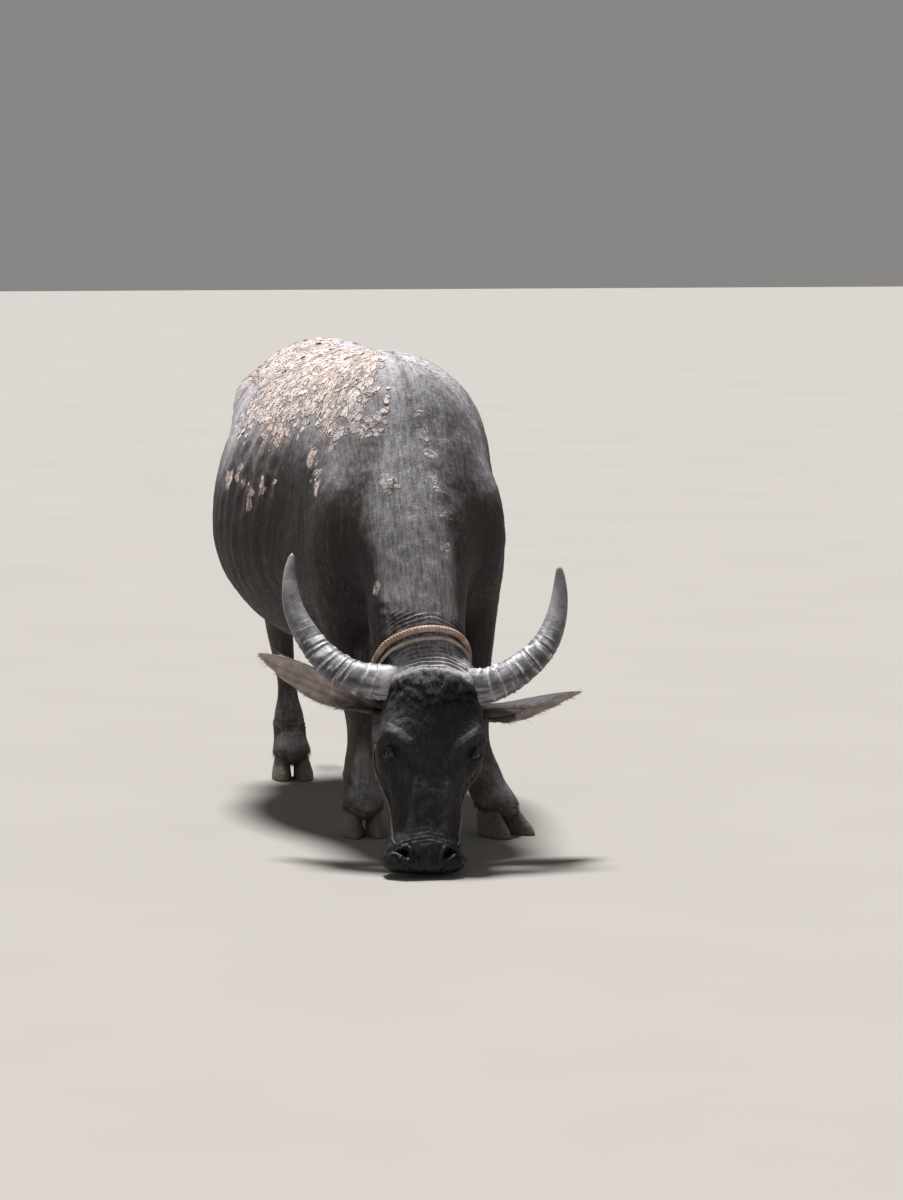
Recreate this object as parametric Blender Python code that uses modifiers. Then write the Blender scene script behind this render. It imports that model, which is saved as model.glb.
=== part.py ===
"""A life-size swamp water buffalo, grazing with its head down.

The body frame has +Z up, the head toward -Y, the animal's left on +X and its withers
over the origin. At the end everything is moved so that the origin lies on the floor,
under the middle of the whole animal. Lengths are in metres.

The flesh is lofted from named sections, fused, sculpted by named swellings and hollows,
and parted into head, neck, torso, tail and legs by cuts as thin as a hair. Horns, ears,
eyes, claws and the ropes that it wears are pieces of their own.
"""

import math
import random

import bmesh
import bpy
import numpy as np
from mathutils import Matrix, Vector
from mathutils.bvhtree import BVHTree

GAP = 0.0003
SOCKET_CLEARANCE = 0.00045
VOXEL = 0.0085
FLESH_TRIANGLES = 5400

HEAD_POINT = Vector((-0.014, -0.520, 0.527))
HEAD_PITCH = math.radians(61)
HEAD_YAW = math.radians(13)
HEAD_ROLL = math.radians(-3.2)
HEAD_LENGTH = 0.56
# Below the poll the face turns to the animal's left about a line inside the head, and its
# left side rises against the right.
FACE_TURN = math.radians(8)
FACE_RISE = 0.09
FACE_TURN_START = 0.05
FACE_TURN_END = 0.22
FACE_TURN_DEPTH = -0.09

EYE_RADIUS = 0.0205
EYE_DOWN_FACE = 0.252
EYE_OUT = 0.099
EYE_BACK = -0.031
LID_THICKNESS = 0.0050
NOSTRIL_OUT = 0.052
NOSTRIL_DOWN_FACE = 0.508
MOUTH_DOWN_FACE = 0.435

HORN_BREADTH = 0.049
HORN_DEPTH = 0.036
HORN_RIDGES = 9
EAR_ROOT_REACH = 0.125

COLLAR_RADIUS = 0.0085
COLLAR_THIN_RADIUS = 0.005
COLLAR_LIFT = 0.0042
# Where each strand crosses the crest and the throat, as (y, z).
COLLAR_ROPE_AT = ((-0.484, 0.592), (-0.288, 0.372))
COLLAR_CORD_AT = ((-0.492, 0.572), (-0.296, 0.352))
NOSE_ROPE_RADIUS = 0.0032
NOSE_ROPE_LIFT = 0.0045

CLAW_LENGTH = 0.068
CLAW_WIDTH = 0.033
CLAW_HEIGHT = 0.072

# Torso: distance behind the withers, top, height of the widest line, bottom, half-width,
# and how square the upper and lower halves are.
TORSO = [
    (-0.285, 0.90, 0.78, 0.68, 0.060, 2.0, 2.0),
    (-0.262, 1.02, 0.78, 0.615, 0.125, 2.0, 2.0),
    (-0.200, 1.15, 0.77, 0.565, 0.192, 2.0, 2.1),
    (-0.100, 1.245, 0.77, 0.540, 0.243, 1.95, 2.1),
    (0.020, 1.280, 0.77, 0.532, 0.268, 1.9, 2.1),
    (0.150, 1.278, 0.77, 0.515, 0.300, 1.9, 2.0),
    (0.320, 1.270, 0.77, 0.468, 0.350, 1.9, 2.0),
    (0.480, 1.266, 0.77, 0.430, 0.381, 2.0, 2.0),
    (0.620, 1.268, 0.77, 0.426, 0.389, 2.0, 2.0),
    (0.760, 1.274, 0.78, 0.462, 0.374, 2.0, 2.0),
    (0.880, 1.281, 0.81, 0.535, 0.332, 2.1, 2.0),
    (0.980, 1.284, 0.86, 0.600, 0.296, 2.3, 2.0),
    (1.080, 1.268, 0.88, 0.640, 0.262, 2.3, 2.0),
    (1.170, 1.222, 0.88, 0.690, 0.212, 2.2, 2.0),
    (1.235, 1.150, 0.90, 0.760, 0.148, 2.1, 2.0),
    (1.268, 1.060, 0.92, 0.830, 0.060, 2.0, 2.0),
]

# Neck: crest (y, z), underside (y, z), sideways shift, half-width, squareness of the crest.
NECK = [
    ((0.02, 1.235), (-0.03, 0.640), 0.000, 0.170, 2.0),
    ((-0.13, 1.195), (-0.225, 0.625), 0.000, 0.176, 2.1),
    ((-0.245, 1.070), (-0.272, 0.590), -0.004, 0.158, 2.3),
    ((-0.335, 0.925), (-0.268, 0.525), -0.012, 0.142, 2.5),
    ((-0.405, 0.780), (-0.263, 0.460), -0.020, 0.132, 2.6),
    ((-0.455, 0.665), (-0.270, 0.400), -0.024, 0.122, 2.6),
    ((-0.488, 0.580), (-0.292, 0.345), -0.023, 0.114, 2.5),
    ((-0.500, 0.510), (-0.330, 0.285), -0.020, 0.110, 2.3),
    ((-0.490, 0.440), (-0.365, 0.270), -0.018, 0.085, 2.0),
]

# Head: distance down the face, half-width, forehead side, widest line, jaw side,
# squareness, and how far the section leans so that the jaw ends short of the nose.
HEAD = [
    (-0.035, 0.072, -0.048, -0.09, -0.145, 2.0, 0.0),
    (-0.012, 0.098, -0.014, -0.075, -0.165, 2.2, 0.0),
    (0.030, 0.116, 0.008, -0.070, -0.200, 2.4, 0.0),
    (0.090, 0.126, 0.018, -0.068, -0.235, 2.5, 0.0),
    (0.155, 0.134, 0.019, -0.060, -0.256, 2.5, 0.0),
    (0.212, 0.137, 0.013, -0.052, -0.262, 2.4, 0.0),
    (0.262, 0.134, 0.005, -0.060, -0.250, 2.4, 0.01),
    (0.302, 0.115, -0.003, -0.072, -0.236, 2.4, 0.03),
    (0.342, 0.102, -0.008, -0.080, -0.218, 2.4, 0.06),
    (0.390, 0.094, -0.013, -0.085, -0.193, 2.4, 0.14),
    (0.445, 0.087, -0.017, -0.082, -0.170, 2.4, 0.26),
    (0.483, 0.090, -0.018, -0.078, -0.153, 2.5, 0.40),
    (0.508, 0.105, -0.019, -0.072, -0.141, 2.6, 0.52),
    (0.528, 0.110, -0.025, -0.070, -0.130, 2.6, 0.62),
    (0.542, 0.101, -0.036, -0.072, -0.116, 2.5, 0.66),
    (0.550, 0.072, -0.051, -0.077, -0.098, 2.2, 0.66),
]

# Front leg: centre (x, y, z), half-width across, half-width fore and aft.
FRONT_RIGHT = [
    ((-0.160, -0.080, 0.980), 0.050, 0.110),
    ((-0.172, -0.105, 0.870), 0.080, 0.145),
    ((-0.170, -0.085, 0.750), 0.088, 0.142),
    ((-0.160, -0.035, 0.640), 0.080, 0.114),
    ((-0.145, -0.028, 0.560), 0.068, 0.088),
    ((-0.130, -0.034, 0.470), 0.054, 0.062),
    ((-0.118, -0.038, 0.395), 0.044, 0.050),
    ((-0.112, -0.040, 0.350), 0.047, 0.053),
    ((-0.109, -0.030, 0.300), 0.037, 0.042),
    ((-0.106, -0.020, 0.235), 0.034, 0.038),
    ((-0.105, -0.018, 0.165), 0.049, 0.048),
    ((-0.105, -0.036, 0.115), 0.049, 0.044),
    ((-0.105, -0.058, 0.075), 0.057, 0.052),
    ((-0.105, -0.068, 0.040), 0.046, 0.046),
]
FRONT_LEFT = [
    ((0.162, -0.080, 0.980), 0.052, 0.110),
    ((0.176, -0.105, 0.870), 0.082, 0.145),
    ((0.178, -0.090, 0.750), 0.090, 0.142),
    ((0.182, -0.055, 0.640), 0.084, 0.114),
    ((0.184, -0.058, 0.560), 0.074, 0.090),
    ((0.184, -0.074, 0.470), 0.058, 0.064),
    ((0.186, -0.090, 0.395), 0.046, 0.051),
    ((0.188, -0.099, 0.350), 0.048, 0.053),
    ((0.191, -0.098, 0.300), 0.038, 0.042),
    ((0.197, -0.096, 0.235), 0.036, 0.038),
    ((0.207, -0.101, 0.165), 0.052, 0.049),
    ((0.224, -0.121, 0.115), 0.052, 0.045),
    ((0.244, -0.138, 0.075), 0.058, 0.052),
    ((0.254, -0.146, 0.040), 0.046, 0.046),
]
HIND_RIGHT = [
    ((-0.150, 1.060, 1.080), 0.070, 0.120),
    ((-0.182, 1.040, 0.960), 0.098, 0.170),
    ((-0.192, 1.010, 0.830), 0.100, 0.185),
    ((-0.184, 0.975, 0.710), 0.087, 0.160),
    ((-0.164, 0.985, 0.610), 0.068, 0.115),
    ((-0.144, 1.030, 0.520), 0.048, 0.080),
    ((-0.130, 1.062, 0.450), 0.039, 0.064),
    ((-0.122, 1.060, 0.395), 0.036, 0.055),
    ((-0.115, 1.042, 0.330), 0.030, 0.042),
    ((-0.111, 1.022, 0.245), 0.028, 0.036),
    ((-0.111, 1.004, 0.165), 0.047, 0.047),
    ((-0.111, 0.982, 0.115), 0.048, 0.043),
    ((-0.111, 0.960, 0.075), 0.056, 0.051),
    ((-0.111, 0.948, 0.040), 0.046, 0.046),
]
HIND_LEFT = [
    ((0.150, 1.060, 1.080), 0.070, 0.120),
    ((0.182, 1.050, 0.960), 0.098, 0.170),
    ((0.192, 1.030, 0.830), 0.100, 0.185),
    ((0.186, 1.010, 0.710), 0.087, 0.160),
    ((0.172, 1.030, 0.610), 0.068, 0.115),
    ((0.157, 1.085, 0.520), 0.048, 0.080),
    ((0.148, 1.125, 0.450), 0.039, 0.064),
    ((0.143, 1.128, 0.395), 0.036, 0.055),
    ((0.140, 1.115, 0.330), 0.030, 0.042),
    ((0.138, 1.100, 0.245), 0.028, 0.036),
    ((0.140, 1.088, 0.165), 0.047, 0.047),
    ((0.141, 1.068, 0.115), 0.048, 0.043),
    ((0.142, 1.046, 0.075), 0.056, 0.051),
    ((0.142, 1.034, 0.040), 0.046, 0.046),
]

# Tail: centre and half-width.
TAIL = [
    ((0.000, 1.130, 1.165), 0.040),
    ((0.000, 1.225, 1.140), 0.040),
    ((0.004, 1.300, 1.075), 0.034),
    ((0.008, 1.328, 0.960), 0.027),
    ((0.012, 1.327, 0.830), 0.022),
    ((0.016, 1.318, 0.710), 0.018),
    ((0.020, 1.308, 0.600), 0.015),
    ((0.022, 1.303, 0.520), 0.011),
]
SWITCH_TOP = Vector((0.019, 1.310, 0.635))
SWITCH_TIP_HEIGHT = 0.335
SWITCH_LOCKS = 11

# Feet: name, leg, which way the toes point in degrees from straight ahead, claw spread.
FEET = [
    ("front_right", FRONT_RIGHT, -4, 0.003),
    ("front_left", FRONT_LEFT, 33, 0.013),
    ("hind_right", HIND_RIGHT, -4, 0.003),
    ("hind_left", HIND_LEFT, 5, 0.003),
]

# Swellings and hollows of the body: centre, radius, push outward. Each is mirrored.
BODY_FORMS = [
    ((0.278, 0.965, 1.165), 0.060, 0.034),
    ((0.235, 0.810, 1.120), 0.100, -0.026),
    ((0.090, 1.235, 1.085), 0.055, 0.022),
    ((0.190, 1.110, 1.110), 0.075, -0.016),
    ((0.235, -0.020, 0.960), 0.110, 0.014),
    ((0.275, 0.150, 0.830), 0.090, -0.016),
    ((0.165, -0.225, 0.790), 0.070, 0.018),
    ((0.245, 0.900, 0.700), 0.090, 0.014),
    ((0.300, 0.790, 0.640), 0.090, 0.010),
    ((0.110, 0.300, 1.235), 0.080, -0.008),
    ((0.050, 0.900, 1.240), 0.060, -0.006),
]
SPINE_FORMS = [
    ((0.0, 1.020, 1.285), 0.060, 0.006),
    ((0.0, -0.190, 0.560), 0.080, 0.014),
    ((0.0, -0.100, 1.230), 0.080, 0.006),
]
# The same for the head: across, down the face, out of the face.
HEAD_FORMS = [
    ((0.114, 0.212, 0.004), 0.036, 0.010),
    ((0.106, 0.248, -0.030), 0.044, 0.006),
    ((0.092, 0.308, -0.024), 0.034, -0.007),
    ((0.112, 0.310, -0.130), 0.055, 0.005),
    ((0.112, 0.220, -0.190), 0.060, 0.008),
    ((0.092, 0.365, -0.110), 0.045, -0.006),
    ((0.118, 0.118, -0.050), 0.040, -0.006),
    ((0.062, 0.500, -0.010), 0.030, 0.007),
    ((0.062, 0.435, -0.010), 0.034, -0.006),
    ((0.085, 0.505, -0.105), 0.030, 0.004),
    ((0.062, 0.060, 0.014), 0.045, 0.006),
]
FACE_FORMS = [
    ((0.0, 0.128, 0.020), 0.055, 0.007),
    ((0.0, 0.285, 0.000), 0.045, -0.004),
    ((0.122, 0.322, -0.070), 0.052, -0.014),
    ((0.110, 0.365, -0.100), 0.050, -0.007),
    ((0.0, 0.365, -0.008), 0.050, 0.005),
    ((0.0, 0.475, -0.150), 0.040, 0.006),
    ((0.0, -0.010, -0.010), 0.045, 0.010),
]

# Horn centre line: out from the middle of the head, up the head line, out of the face.
HORN_RIGHT = [
    (-0.088, -0.056, -0.042),
    (-0.134, -0.056, -0.046),
    (-0.196, -0.044, -0.058),
    (-0.248, -0.014, -0.072),
    (-0.294, 0.028, -0.084),
    (-0.328, 0.072, -0.090),
    (-0.356, 0.116, -0.090),
    (-0.378, 0.166, -0.084),
    (-0.388, 0.230, -0.072),
    (-0.386, 0.292, -0.056),
]
HORN_LEFT = [
    (0.088, -0.058, -0.042),
    (0.132, -0.052, -0.046),
    (0.181, -0.024, -0.058),
    (0.226, 0.017, -0.072),
    (0.265, 0.065, -0.084),
    (0.290, 0.115, -0.090),
    (0.304, 0.168, -0.090),
    (0.309, 0.220, -0.084),
    (0.308, 0.264, -0.074),
    (0.304, 0.298, -0.062),
]

COLLECTION = "water_buffalo"
CUTTERS = "cutters"


def clear_scene():
    for item in list(bpy.data.objects):
        bpy.data.objects.remove(item, do_unlink=True)
    for name in (COLLECTION, CUTTERS):
        group = bpy.data.collections.new(name)
        bpy.context.scene.collection.children.link(group)


def add_object(name, mesh, group=COLLECTION):
    item = bpy.data.objects.new(name, mesh)
    bpy.data.collections[group].objects.link(item)
    if group == CUTTERS:
        item.hide_render = True
        item.display_type = "WIRE"
    return item


def drop(*items):
    for item in items:
        bpy.data.objects.remove(item, do_unlink=True)


def head_axes():
    """Columns: the animal's left, down the face, and out of the face."""
    forward = Vector((-math.sin(HEAD_YAW), -math.cos(HEAD_YAW), 0))
    left = Vector((math.cos(HEAD_YAW), -math.sin(HEAD_YAW), 0))
    up = Vector((0, 0, 1))
    down_face = forward * math.cos(HEAD_PITCH) - up * math.sin(HEAD_PITCH)
    out = forward * math.sin(HEAD_PITCH) + up * math.cos(HEAD_PITCH)
    roll = Matrix.Rotation(HEAD_ROLL, 3, out)
    return Matrix((roll @ left, roll @ down_face, out)).transposed()


HEAD_AXES = head_axes()


def face_axes(down):
    """The head's directions at a distance down it, turned and slanted with the face."""
    t = min(max((down - FACE_TURN_START) / (FACE_TURN_END - FACE_TURN_START), 0), 1)
    share = t * t * (3 - 2 * t)
    c, s = math.cos(FACE_TURN * share), math.sin(FACE_TURN * share)
    return HEAD_AXES @ Matrix(((c, 0, s), (-FACE_RISE * share, 1, 0), (-s, 0, c)))


def on_head(across, down, out):
    pivot = Vector((0, down, FACE_TURN_DEPTH))
    return HEAD_POINT + HEAD_AXES @ pivot + face_axes(down) @ Vector((across, 0, out - FACE_TURN_DEPTH))


def smooth_rows(rows, steps):
    """Rows of numbers with a smooth curve through each column, steps to a stretch."""
    table = np.array(rows, dtype=float)
    fine = []
    last = len(table) - 1
    for i in range(last):
        a = table[max(i - 1, 0)]
        b = table[i]
        c = table[i + 1]
        d = table[min(i + 2, last)]
        for k in range(steps):
            t = k / steps
            fine.append(
                0.5 * (2 * b + (c - a) * t + (2 * a - 5 * b + 4 * c - d) * t**2
                       + (3 * b - a - 3 * c + d) * t**3)
            )
    fine.append(table[last])
    return fine


def power(value, exponent):
    return math.copysign(abs(value) ** (2 / exponent), value)


def oval(centre, side, up, half_side, half_up, half_down, top_power=2.0, low_power=2.0, count=32):
    """A ring of points whose upper and lower halves have their own height and squareness."""
    ring = []
    for k in range(count):
        angle = 2 * math.pi * k / count
        upper = math.sin(angle) >= 0
        p = top_power if upper else low_power
        x = half_side * power(math.cos(angle), p)
        y = (half_up if upper else half_down) * power(math.sin(angle), p)
        ring.append(centre + side * x + up * y)
    return ring


def skin_rings(name, rings, group=COLLECTION):
    """A closed mesh over rings of equal count, turned so that its faces point out."""
    mesh = bpy.data.meshes.new(name)
    bm = bmesh.new()
    loops = [[bm.verts.new(p) for p in ring] for ring in rings]
    count = len(loops[0])
    for low, high in zip(loops, loops[1:]):
        for k in range(count):
            after = (k + 1) % count
            bm.faces.new((low[k], low[after], high[after], high[k]))
    bm.faces.new(list(reversed(loops[0])))
    bm.faces.new(loops[-1])
    bmesh.ops.triangulate(bm, faces=bm.faces[:])
    bmesh.ops.recalc_face_normals(bm, faces=bm.faces[:])
    bm.to_mesh(mesh)
    bm.free()
    return add_object(name, mesh, group)


def path_frames(points, side_hint):
    """Unit tangent, side and up at each point of a path."""
    frames = []
    for i, _ in enumerate(points):
        before = points[max(i - 1, 0)]
        after = points[min(i + 1, len(points) - 1)]
        tangent = (after - before).normalized()
        up = side_hint.cross(tangent).normalized()
        side = tangent.cross(up).normalized()
        frames.append((tangent, side, up))
    return frames


def evaluated_mesh(item):
    graph = bpy.context.evaluated_depsgraph_get()
    return bpy.data.meshes.new_from_object(item.evaluated_get(graph))


def apply_modifiers(item):
    mesh = evaluated_mesh(item)
    item.modifiers.clear()
    item.data = mesh


def keep_largest(item):
    """Keeps the largest closed surface of a mesh."""
    bm = bmesh.new()
    bm.from_mesh(item.data)
    left = set(bm.verts)
    pieces = []
    while left:
        piece = set()
        stack = [left.pop()]
        while stack:
            vert = stack.pop()
            piece.add(vert)
            for edge in vert.link_edges:
                other = edge.other_vert(vert)
                if other in left:
                    left.discard(other)
                    stack.append(other)
        pieces.append(piece)
    if len(pieces) > 1:
        largest = max(pieces, key=len)
        scraps = [v for v in bm.verts if v not in largest]
        bmesh.ops.delete(bm, geom=scraps, context="VERTS")
    bmesh.ops.triangulate(bm, faces=bm.faces[:])
    bm.to_mesh(item.data)
    bm.free()


def combine(item, operation, tools, solver="EXACT"):
    """One Boolean of an object with a collection of closed meshes, then removes them."""
    group = bpy.data.collections.new(item.name + "_tools")
    for tool in tools:
        group.objects.link(tool)
    boolean = item.modifiers.new("fit", "BOOLEAN")
    boolean.operation = operation
    boolean.solver = solver
    boolean.operand_type = "COLLECTION"
    boolean.collection = group
    apply_modifiers(item)
    keep_largest(item)
    drop(*tools)
    bpy.data.collections.remove(group)


def torso_loft():
    rings = []
    for y, top, wide, low, half, top_power, low_power in smooth_rows(TORSO, 3):
        centre = Vector((0, y, wide))
        rings.append(
            oval(centre, Vector((1, 0, 0)), Vector((0, 0, 1)), half, top - wide, wide - low,
                 top_power, low_power, 48)
        )
    return skin_rings("torso_loft", rings)


def neck_loft():
    rows = [(*crest, *under, x, half, square) for crest, under, x, half, square in NECK]
    rings = []
    for y1, z1, y2, z2, x, half, square in smooth_rows(rows, 3):
        crest = Vector((x, y1, z1))
        under = Vector((x, y2, z2))
        reach = (crest - under).length / 2
        rings.append(
            oval((crest + under) / 2, Vector((1, 0, 0)), (crest - under).normalized(),
                 half, reach, reach, square, 2.0, 40)
        )
    return skin_rings("neck_loft", rings)


def head_loft():
    rings = []
    for down, half, front, wide, jaw, square, lean in smooth_rows(HEAD, 3):
        side = face_axes(down) @ Vector((1, 0, 0))
        up = face_axes(down) @ Vector((0, lean, 1))
        rings.append(
            oval(on_head(0, down, wide), side, up, half, front - wide, wide - jaw, square, square, 40)
        )
    return skin_rings("head_loft", rings)


def limb_loft(name, rows):
    flat = [(*centre, across, along) for centre, across, along in rows]
    fine = smooth_rows(flat, 3)
    centres = [Vector(row[:3]) for row in fine]
    rings = []
    for row, (_, side, up) in zip(fine, path_frames(centres, Vector((1, 0, 0)))):
        rings.append(oval(Vector(row[:3]), side, up, row[3], row[4], row[4], 2.2, 2.2, 28))
    return skin_rings(name, rings)


def tail_loft():
    rows = [(*centre, half, half) for centre, half in TAIL]
    fine = smooth_rows(rows, 3)
    centres = [Vector(row[:3]) for row in fine]
    rings = []
    for row, (_, side, up) in zip(fine, path_frames(centres, Vector((1, 0, 0)))):
        rings.append(oval(Vector(row[:3]), side, up, row[3], row[4], row[4], 2, 2, 16))
    return skin_rings("tail_loft", rings)


def mirrored(forms):
    both = []
    for (x, y, z), radius, push in forms:
        both.append((Vector((x, y, z)), radius, push))
        both.append((Vector((-x, y, z)), radius, push))
    return both


def sculpt(item):
    """Moves the surface out or in round each named swelling or hollow."""
    forms = mirrored(BODY_FORMS)
    forms += [(Vector(centre), radius, push) for centre, radius, push in SPINE_FORMS]
    forms += [(on_head(*centre), radius, push) for centre, radius, push in mirrored(HEAD_FORMS)]
    forms += [(on_head(*centre), radius, push) for centre, radius, push in FACE_FORMS]
    mesh = item.data
    count = len(mesh.vertices)
    points = np.empty(count * 3)
    normals = np.empty(count * 3)
    mesh.vertices.foreach_get("co", points)
    mesh.vertices.foreach_get("normal", normals)
    points = points.reshape(-1, 3)
    normals = normals.reshape(-1, 3)
    push = np.zeros(count)
    for centre, radius, amount in forms:
        away = ((points - np.array(centre)) ** 2).sum(1)
        push += amount * np.exp(-away / (radius * radius))
    points += normals * push[:, None]
    mesh.vertices.foreach_set("co", points.ravel())
    mesh.update()


def eye_centre(side):
    return on_head(side * EYE_OUT, EYE_DOWN_FACE, EYE_BACK)


def ball(name, centre, radius, segments=12, rings=8):
    mesh = bpy.data.meshes.new(name)
    bm = bmesh.new()
    bmesh.ops.create_uvsphere(bm, u_segments=segments, v_segments=rings, radius=radius)
    bmesh.ops.translate(bm, verts=bm.verts[:], vec=centre)
    bmesh.ops.triangulate(bm, faces=bm.faces[:])
    bm.to_mesh(mesh)
    bm.free()
    return add_object(name, mesh)


def flesh():
    """The whole body in one closed surface, fine on the head and coarse on the barrel."""
    pieces = [
        torso_loft(),
        neck_loft(),
        head_loft(),
        limb_loft("front_right", FRONT_RIGHT),
        limb_loft("front_left", FRONT_LEFT),
        limb_loft("hind_right", HIND_RIGHT),
        limb_loft("hind_left", HIND_LEFT),
        tail_loft(),
    ]
    bm = bmesh.new()
    for piece in pieces:
        bm.from_mesh(piece.data)
    mesh = bpy.data.meshes.new("flesh")
    bm.to_mesh(mesh)
    bm.free()
    drop(*pieces)
    whole = add_object("flesh", mesh)
    remesh = whole.modifiers.new("fuse", "REMESH")
    remesh.mode = "VOXEL"
    remesh.voxel_size = VOXEL
    smooth = whole.modifiers.new("soften", "SMOOTH")
    smooth.factor = 0.5
    smooth.iterations = 8
    apply_modifiers(whole)
    sculpt(whole)
    thin_out(whole)
    return whole


def thin_out(whole):
    """Leaves few triangles on the barrel and more on the head and feet."""
    group = whole.vertex_groups.new(name="coarse")
    face = on_head(0, HEAD_LENGTH / 2, -0.08)
    steps = {0.95: [], 0.94: [], 1.0: []}
    for vert in whole.data.vertices:
        near_head = (vert.co - face).length < 0.36 and vert.co.y < -0.30
        low = vert.co.z < 0.42 and vert.co.y > -0.30
        key = 0.95 if near_head else 0.94 if low else 1.0
        steps[key].append(vert.index)
    for weight, indices in steps.items():
        group.add(indices, weight, "REPLACE")
    total = sum(len(p.vertices) - 2 for p in whole.data.polygons)
    decimate = whole.modifiers.new("thin", "DECIMATE")
    decimate.ratio = FLESH_TRIANGLES / total
    decimate.vertex_group = "coarse"
    decimate.use_collapse_triangulate = True
    apply_modifiers(whole)
    whole.vertex_groups.clear()


def slab(name, centre, across, along, up, size):
    """A cutter plate: centre, two directions in it, its normal, and its three sizes."""
    mesh = bpy.data.meshes.new(name)
    bm = bmesh.new()
    bmesh.ops.create_cube(bm, size=1)
    axes = Matrix((across * size[0], along * size[1], up * size[2])).transposed().to_4x4()
    bmesh.ops.transform(bm, matrix=Matrix.Translation(centre) @ axes, verts=bm.verts[:])
    bmesh.ops.recalc_face_normals(bm, faces=bm.faces[:])
    bm.to_mesh(mesh)
    bm.free()
    return add_object(name, mesh, CUTTERS)


def cut_plate(name, start, end, half_width, x=0.0):
    """A plate GAP thick that holds the line from start to end, given in the side view."""
    a = Vector((x, *start))
    b = Vector((x, *end))
    along = (b - a).normalized()
    across = Vector((1, 0, 0))
    return slab(name, (a + b) / 2, across, along, across.cross(along), (half_width * 2, (b - a).length, GAP))


def part_flesh(whole):
    """Cuts the flesh with thin plates and names the pieces by where they lie."""
    plates = [
        cut_plate("neck_cut", (-0.050, 1.36), (-0.215, 0.450), 0.36),
        cut_plate("head_cut", (-0.590, 0.585), (-0.180, 0.347), 0.24),
        cut_plate("tail_cut", (1.268, 1.220), (1.290, 0.790), 0.054),
        cut_plate("front_right_cut", (-0.250, 0.497), (0.130, 0.497), 0.16, -0.170),
        cut_plate("front_left_cut", (-0.250, 0.497), (0.130, 0.497), 0.16, 0.170),
        cut_plate("hind_right_cut", (0.790, 0.500), (1.200, 0.640), 0.16, -0.180),
        cut_plate("hind_left_cut", (0.790, 0.500), (1.240, 0.654), 0.16, 0.180),
    ]
    group = bpy.data.collections.new("plates")
    for plate in plates:
        group.objects.link(plate)
    boolean = whole.modifiers.new("part", "BOOLEAN")
    boolean.operation = "DIFFERENCE"
    boolean.operand_type = "COLLECTION"
    boolean.collection = group
    apply_modifiers(whole)
    drop(*plates)
    bpy.data.collections.remove(group)
    pieces = split_loose(whole)
    places = {
        "head": on_head(0, 0.28, -0.12),
        "neck": Vector((0, -0.32, 0.72)),
        "torso": Vector((0, 0.50, 0.85)),
        "tail": Vector((0, 1.30, 0.85)),
        "leg_front_right": Vector((-0.12, -0.06, 0.28)),
        "leg_front_left": Vector((0.19, -0.10, 0.28)),
        "leg_hind_right": Vector((-0.13, 1.03, 0.30)),
        "leg_hind_left": Vector((0.15, 1.10, 0.30)),
    }
    named = {}
    for name, place in places.items():
        nearest = min(pieces, key=lambda piece: (middle(piece) - place).length)
        pieces.remove(nearest)
        nearest.name = name
        nearest.data.name = name
        named[name] = nearest
    drop(*pieces)
    return named


def middle(item):
    total = Vector()
    for vert in item.data.vertices:
        total += vert.co
    return total / len(item.data.vertices)


def split_loose(whole):
    """One object for each closed surface of a mesh."""
    bm = bmesh.new()
    bm.from_mesh(whole.data)
    bmesh.ops.triangulate(bm, faces=bm.faces[:])
    bm.verts.ensure_lookup_table()
    left = set(range(len(bm.verts)))
    pieces = []
    while left:
        seed = left.pop()
        stack = [seed]
        piece = [seed]
        while stack:
            vert = bm.verts[stack.pop()]
            for edge in vert.link_edges:
                other = edge.other_vert(vert).index
                if other in left:
                    left.discard(other)
                    stack.append(other)
                    piece.append(other)
        index = {old: new for new, old in enumerate(sorted(piece))}
        points = [bm.verts[old].co.copy() for old in sorted(piece)]
        faces = [[index[v.index] for v in f.verts] for f in bm.faces if f.verts[0].index in index]
        mesh = bpy.data.meshes.new("piece")
        mesh.from_pydata(points, [], faces)
        pieces.append(add_object("piece", mesh))
    bm.free()
    drop(whole)
    return pieces


def horn(name, rows):
    """A crescent horn with ridges round its lower two thirds and a smooth tip."""
    fine = smooth_rows(rows, 3)
    points = [on_head(out, -up, face) for out, up, face in fine]
    frames = path_frames(points, HEAD_AXES @ Vector((0, 0, 1)))
    rings = []
    last = len(points) - 1
    for i, (centre, (_, out_of_face, in_plane)) in enumerate(zip(points, frames)):
        t = i / last
        slim = (1 - t) ** 0.5 * 0.96 + 0.04
        ridge = 0.0025 * math.sin(2 * math.pi * HORN_RIDGES * t / 0.66) if 0.08 < t < 0.66 else 0.0
        breadth = HORN_BREADTH * slim + ridge
        depth = HORN_DEPTH * slim + ridge
        rings.append(oval(centre, out_of_face, in_plane, depth, breadth, breadth, 2.3, 1.8, 10))
    return skin_rings(name, rings)


def ear_path(side):
    """Root and tip of an ear, its lie and the way that its cup faces."""
    if side < 0:
        return on_head(-0.094, 0.086, -0.140), on_head(-0.464, -0.070, -0.215)
    return on_head(0.094, 0.076, -0.136), on_head(0.376, -0.020, -0.236)


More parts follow.
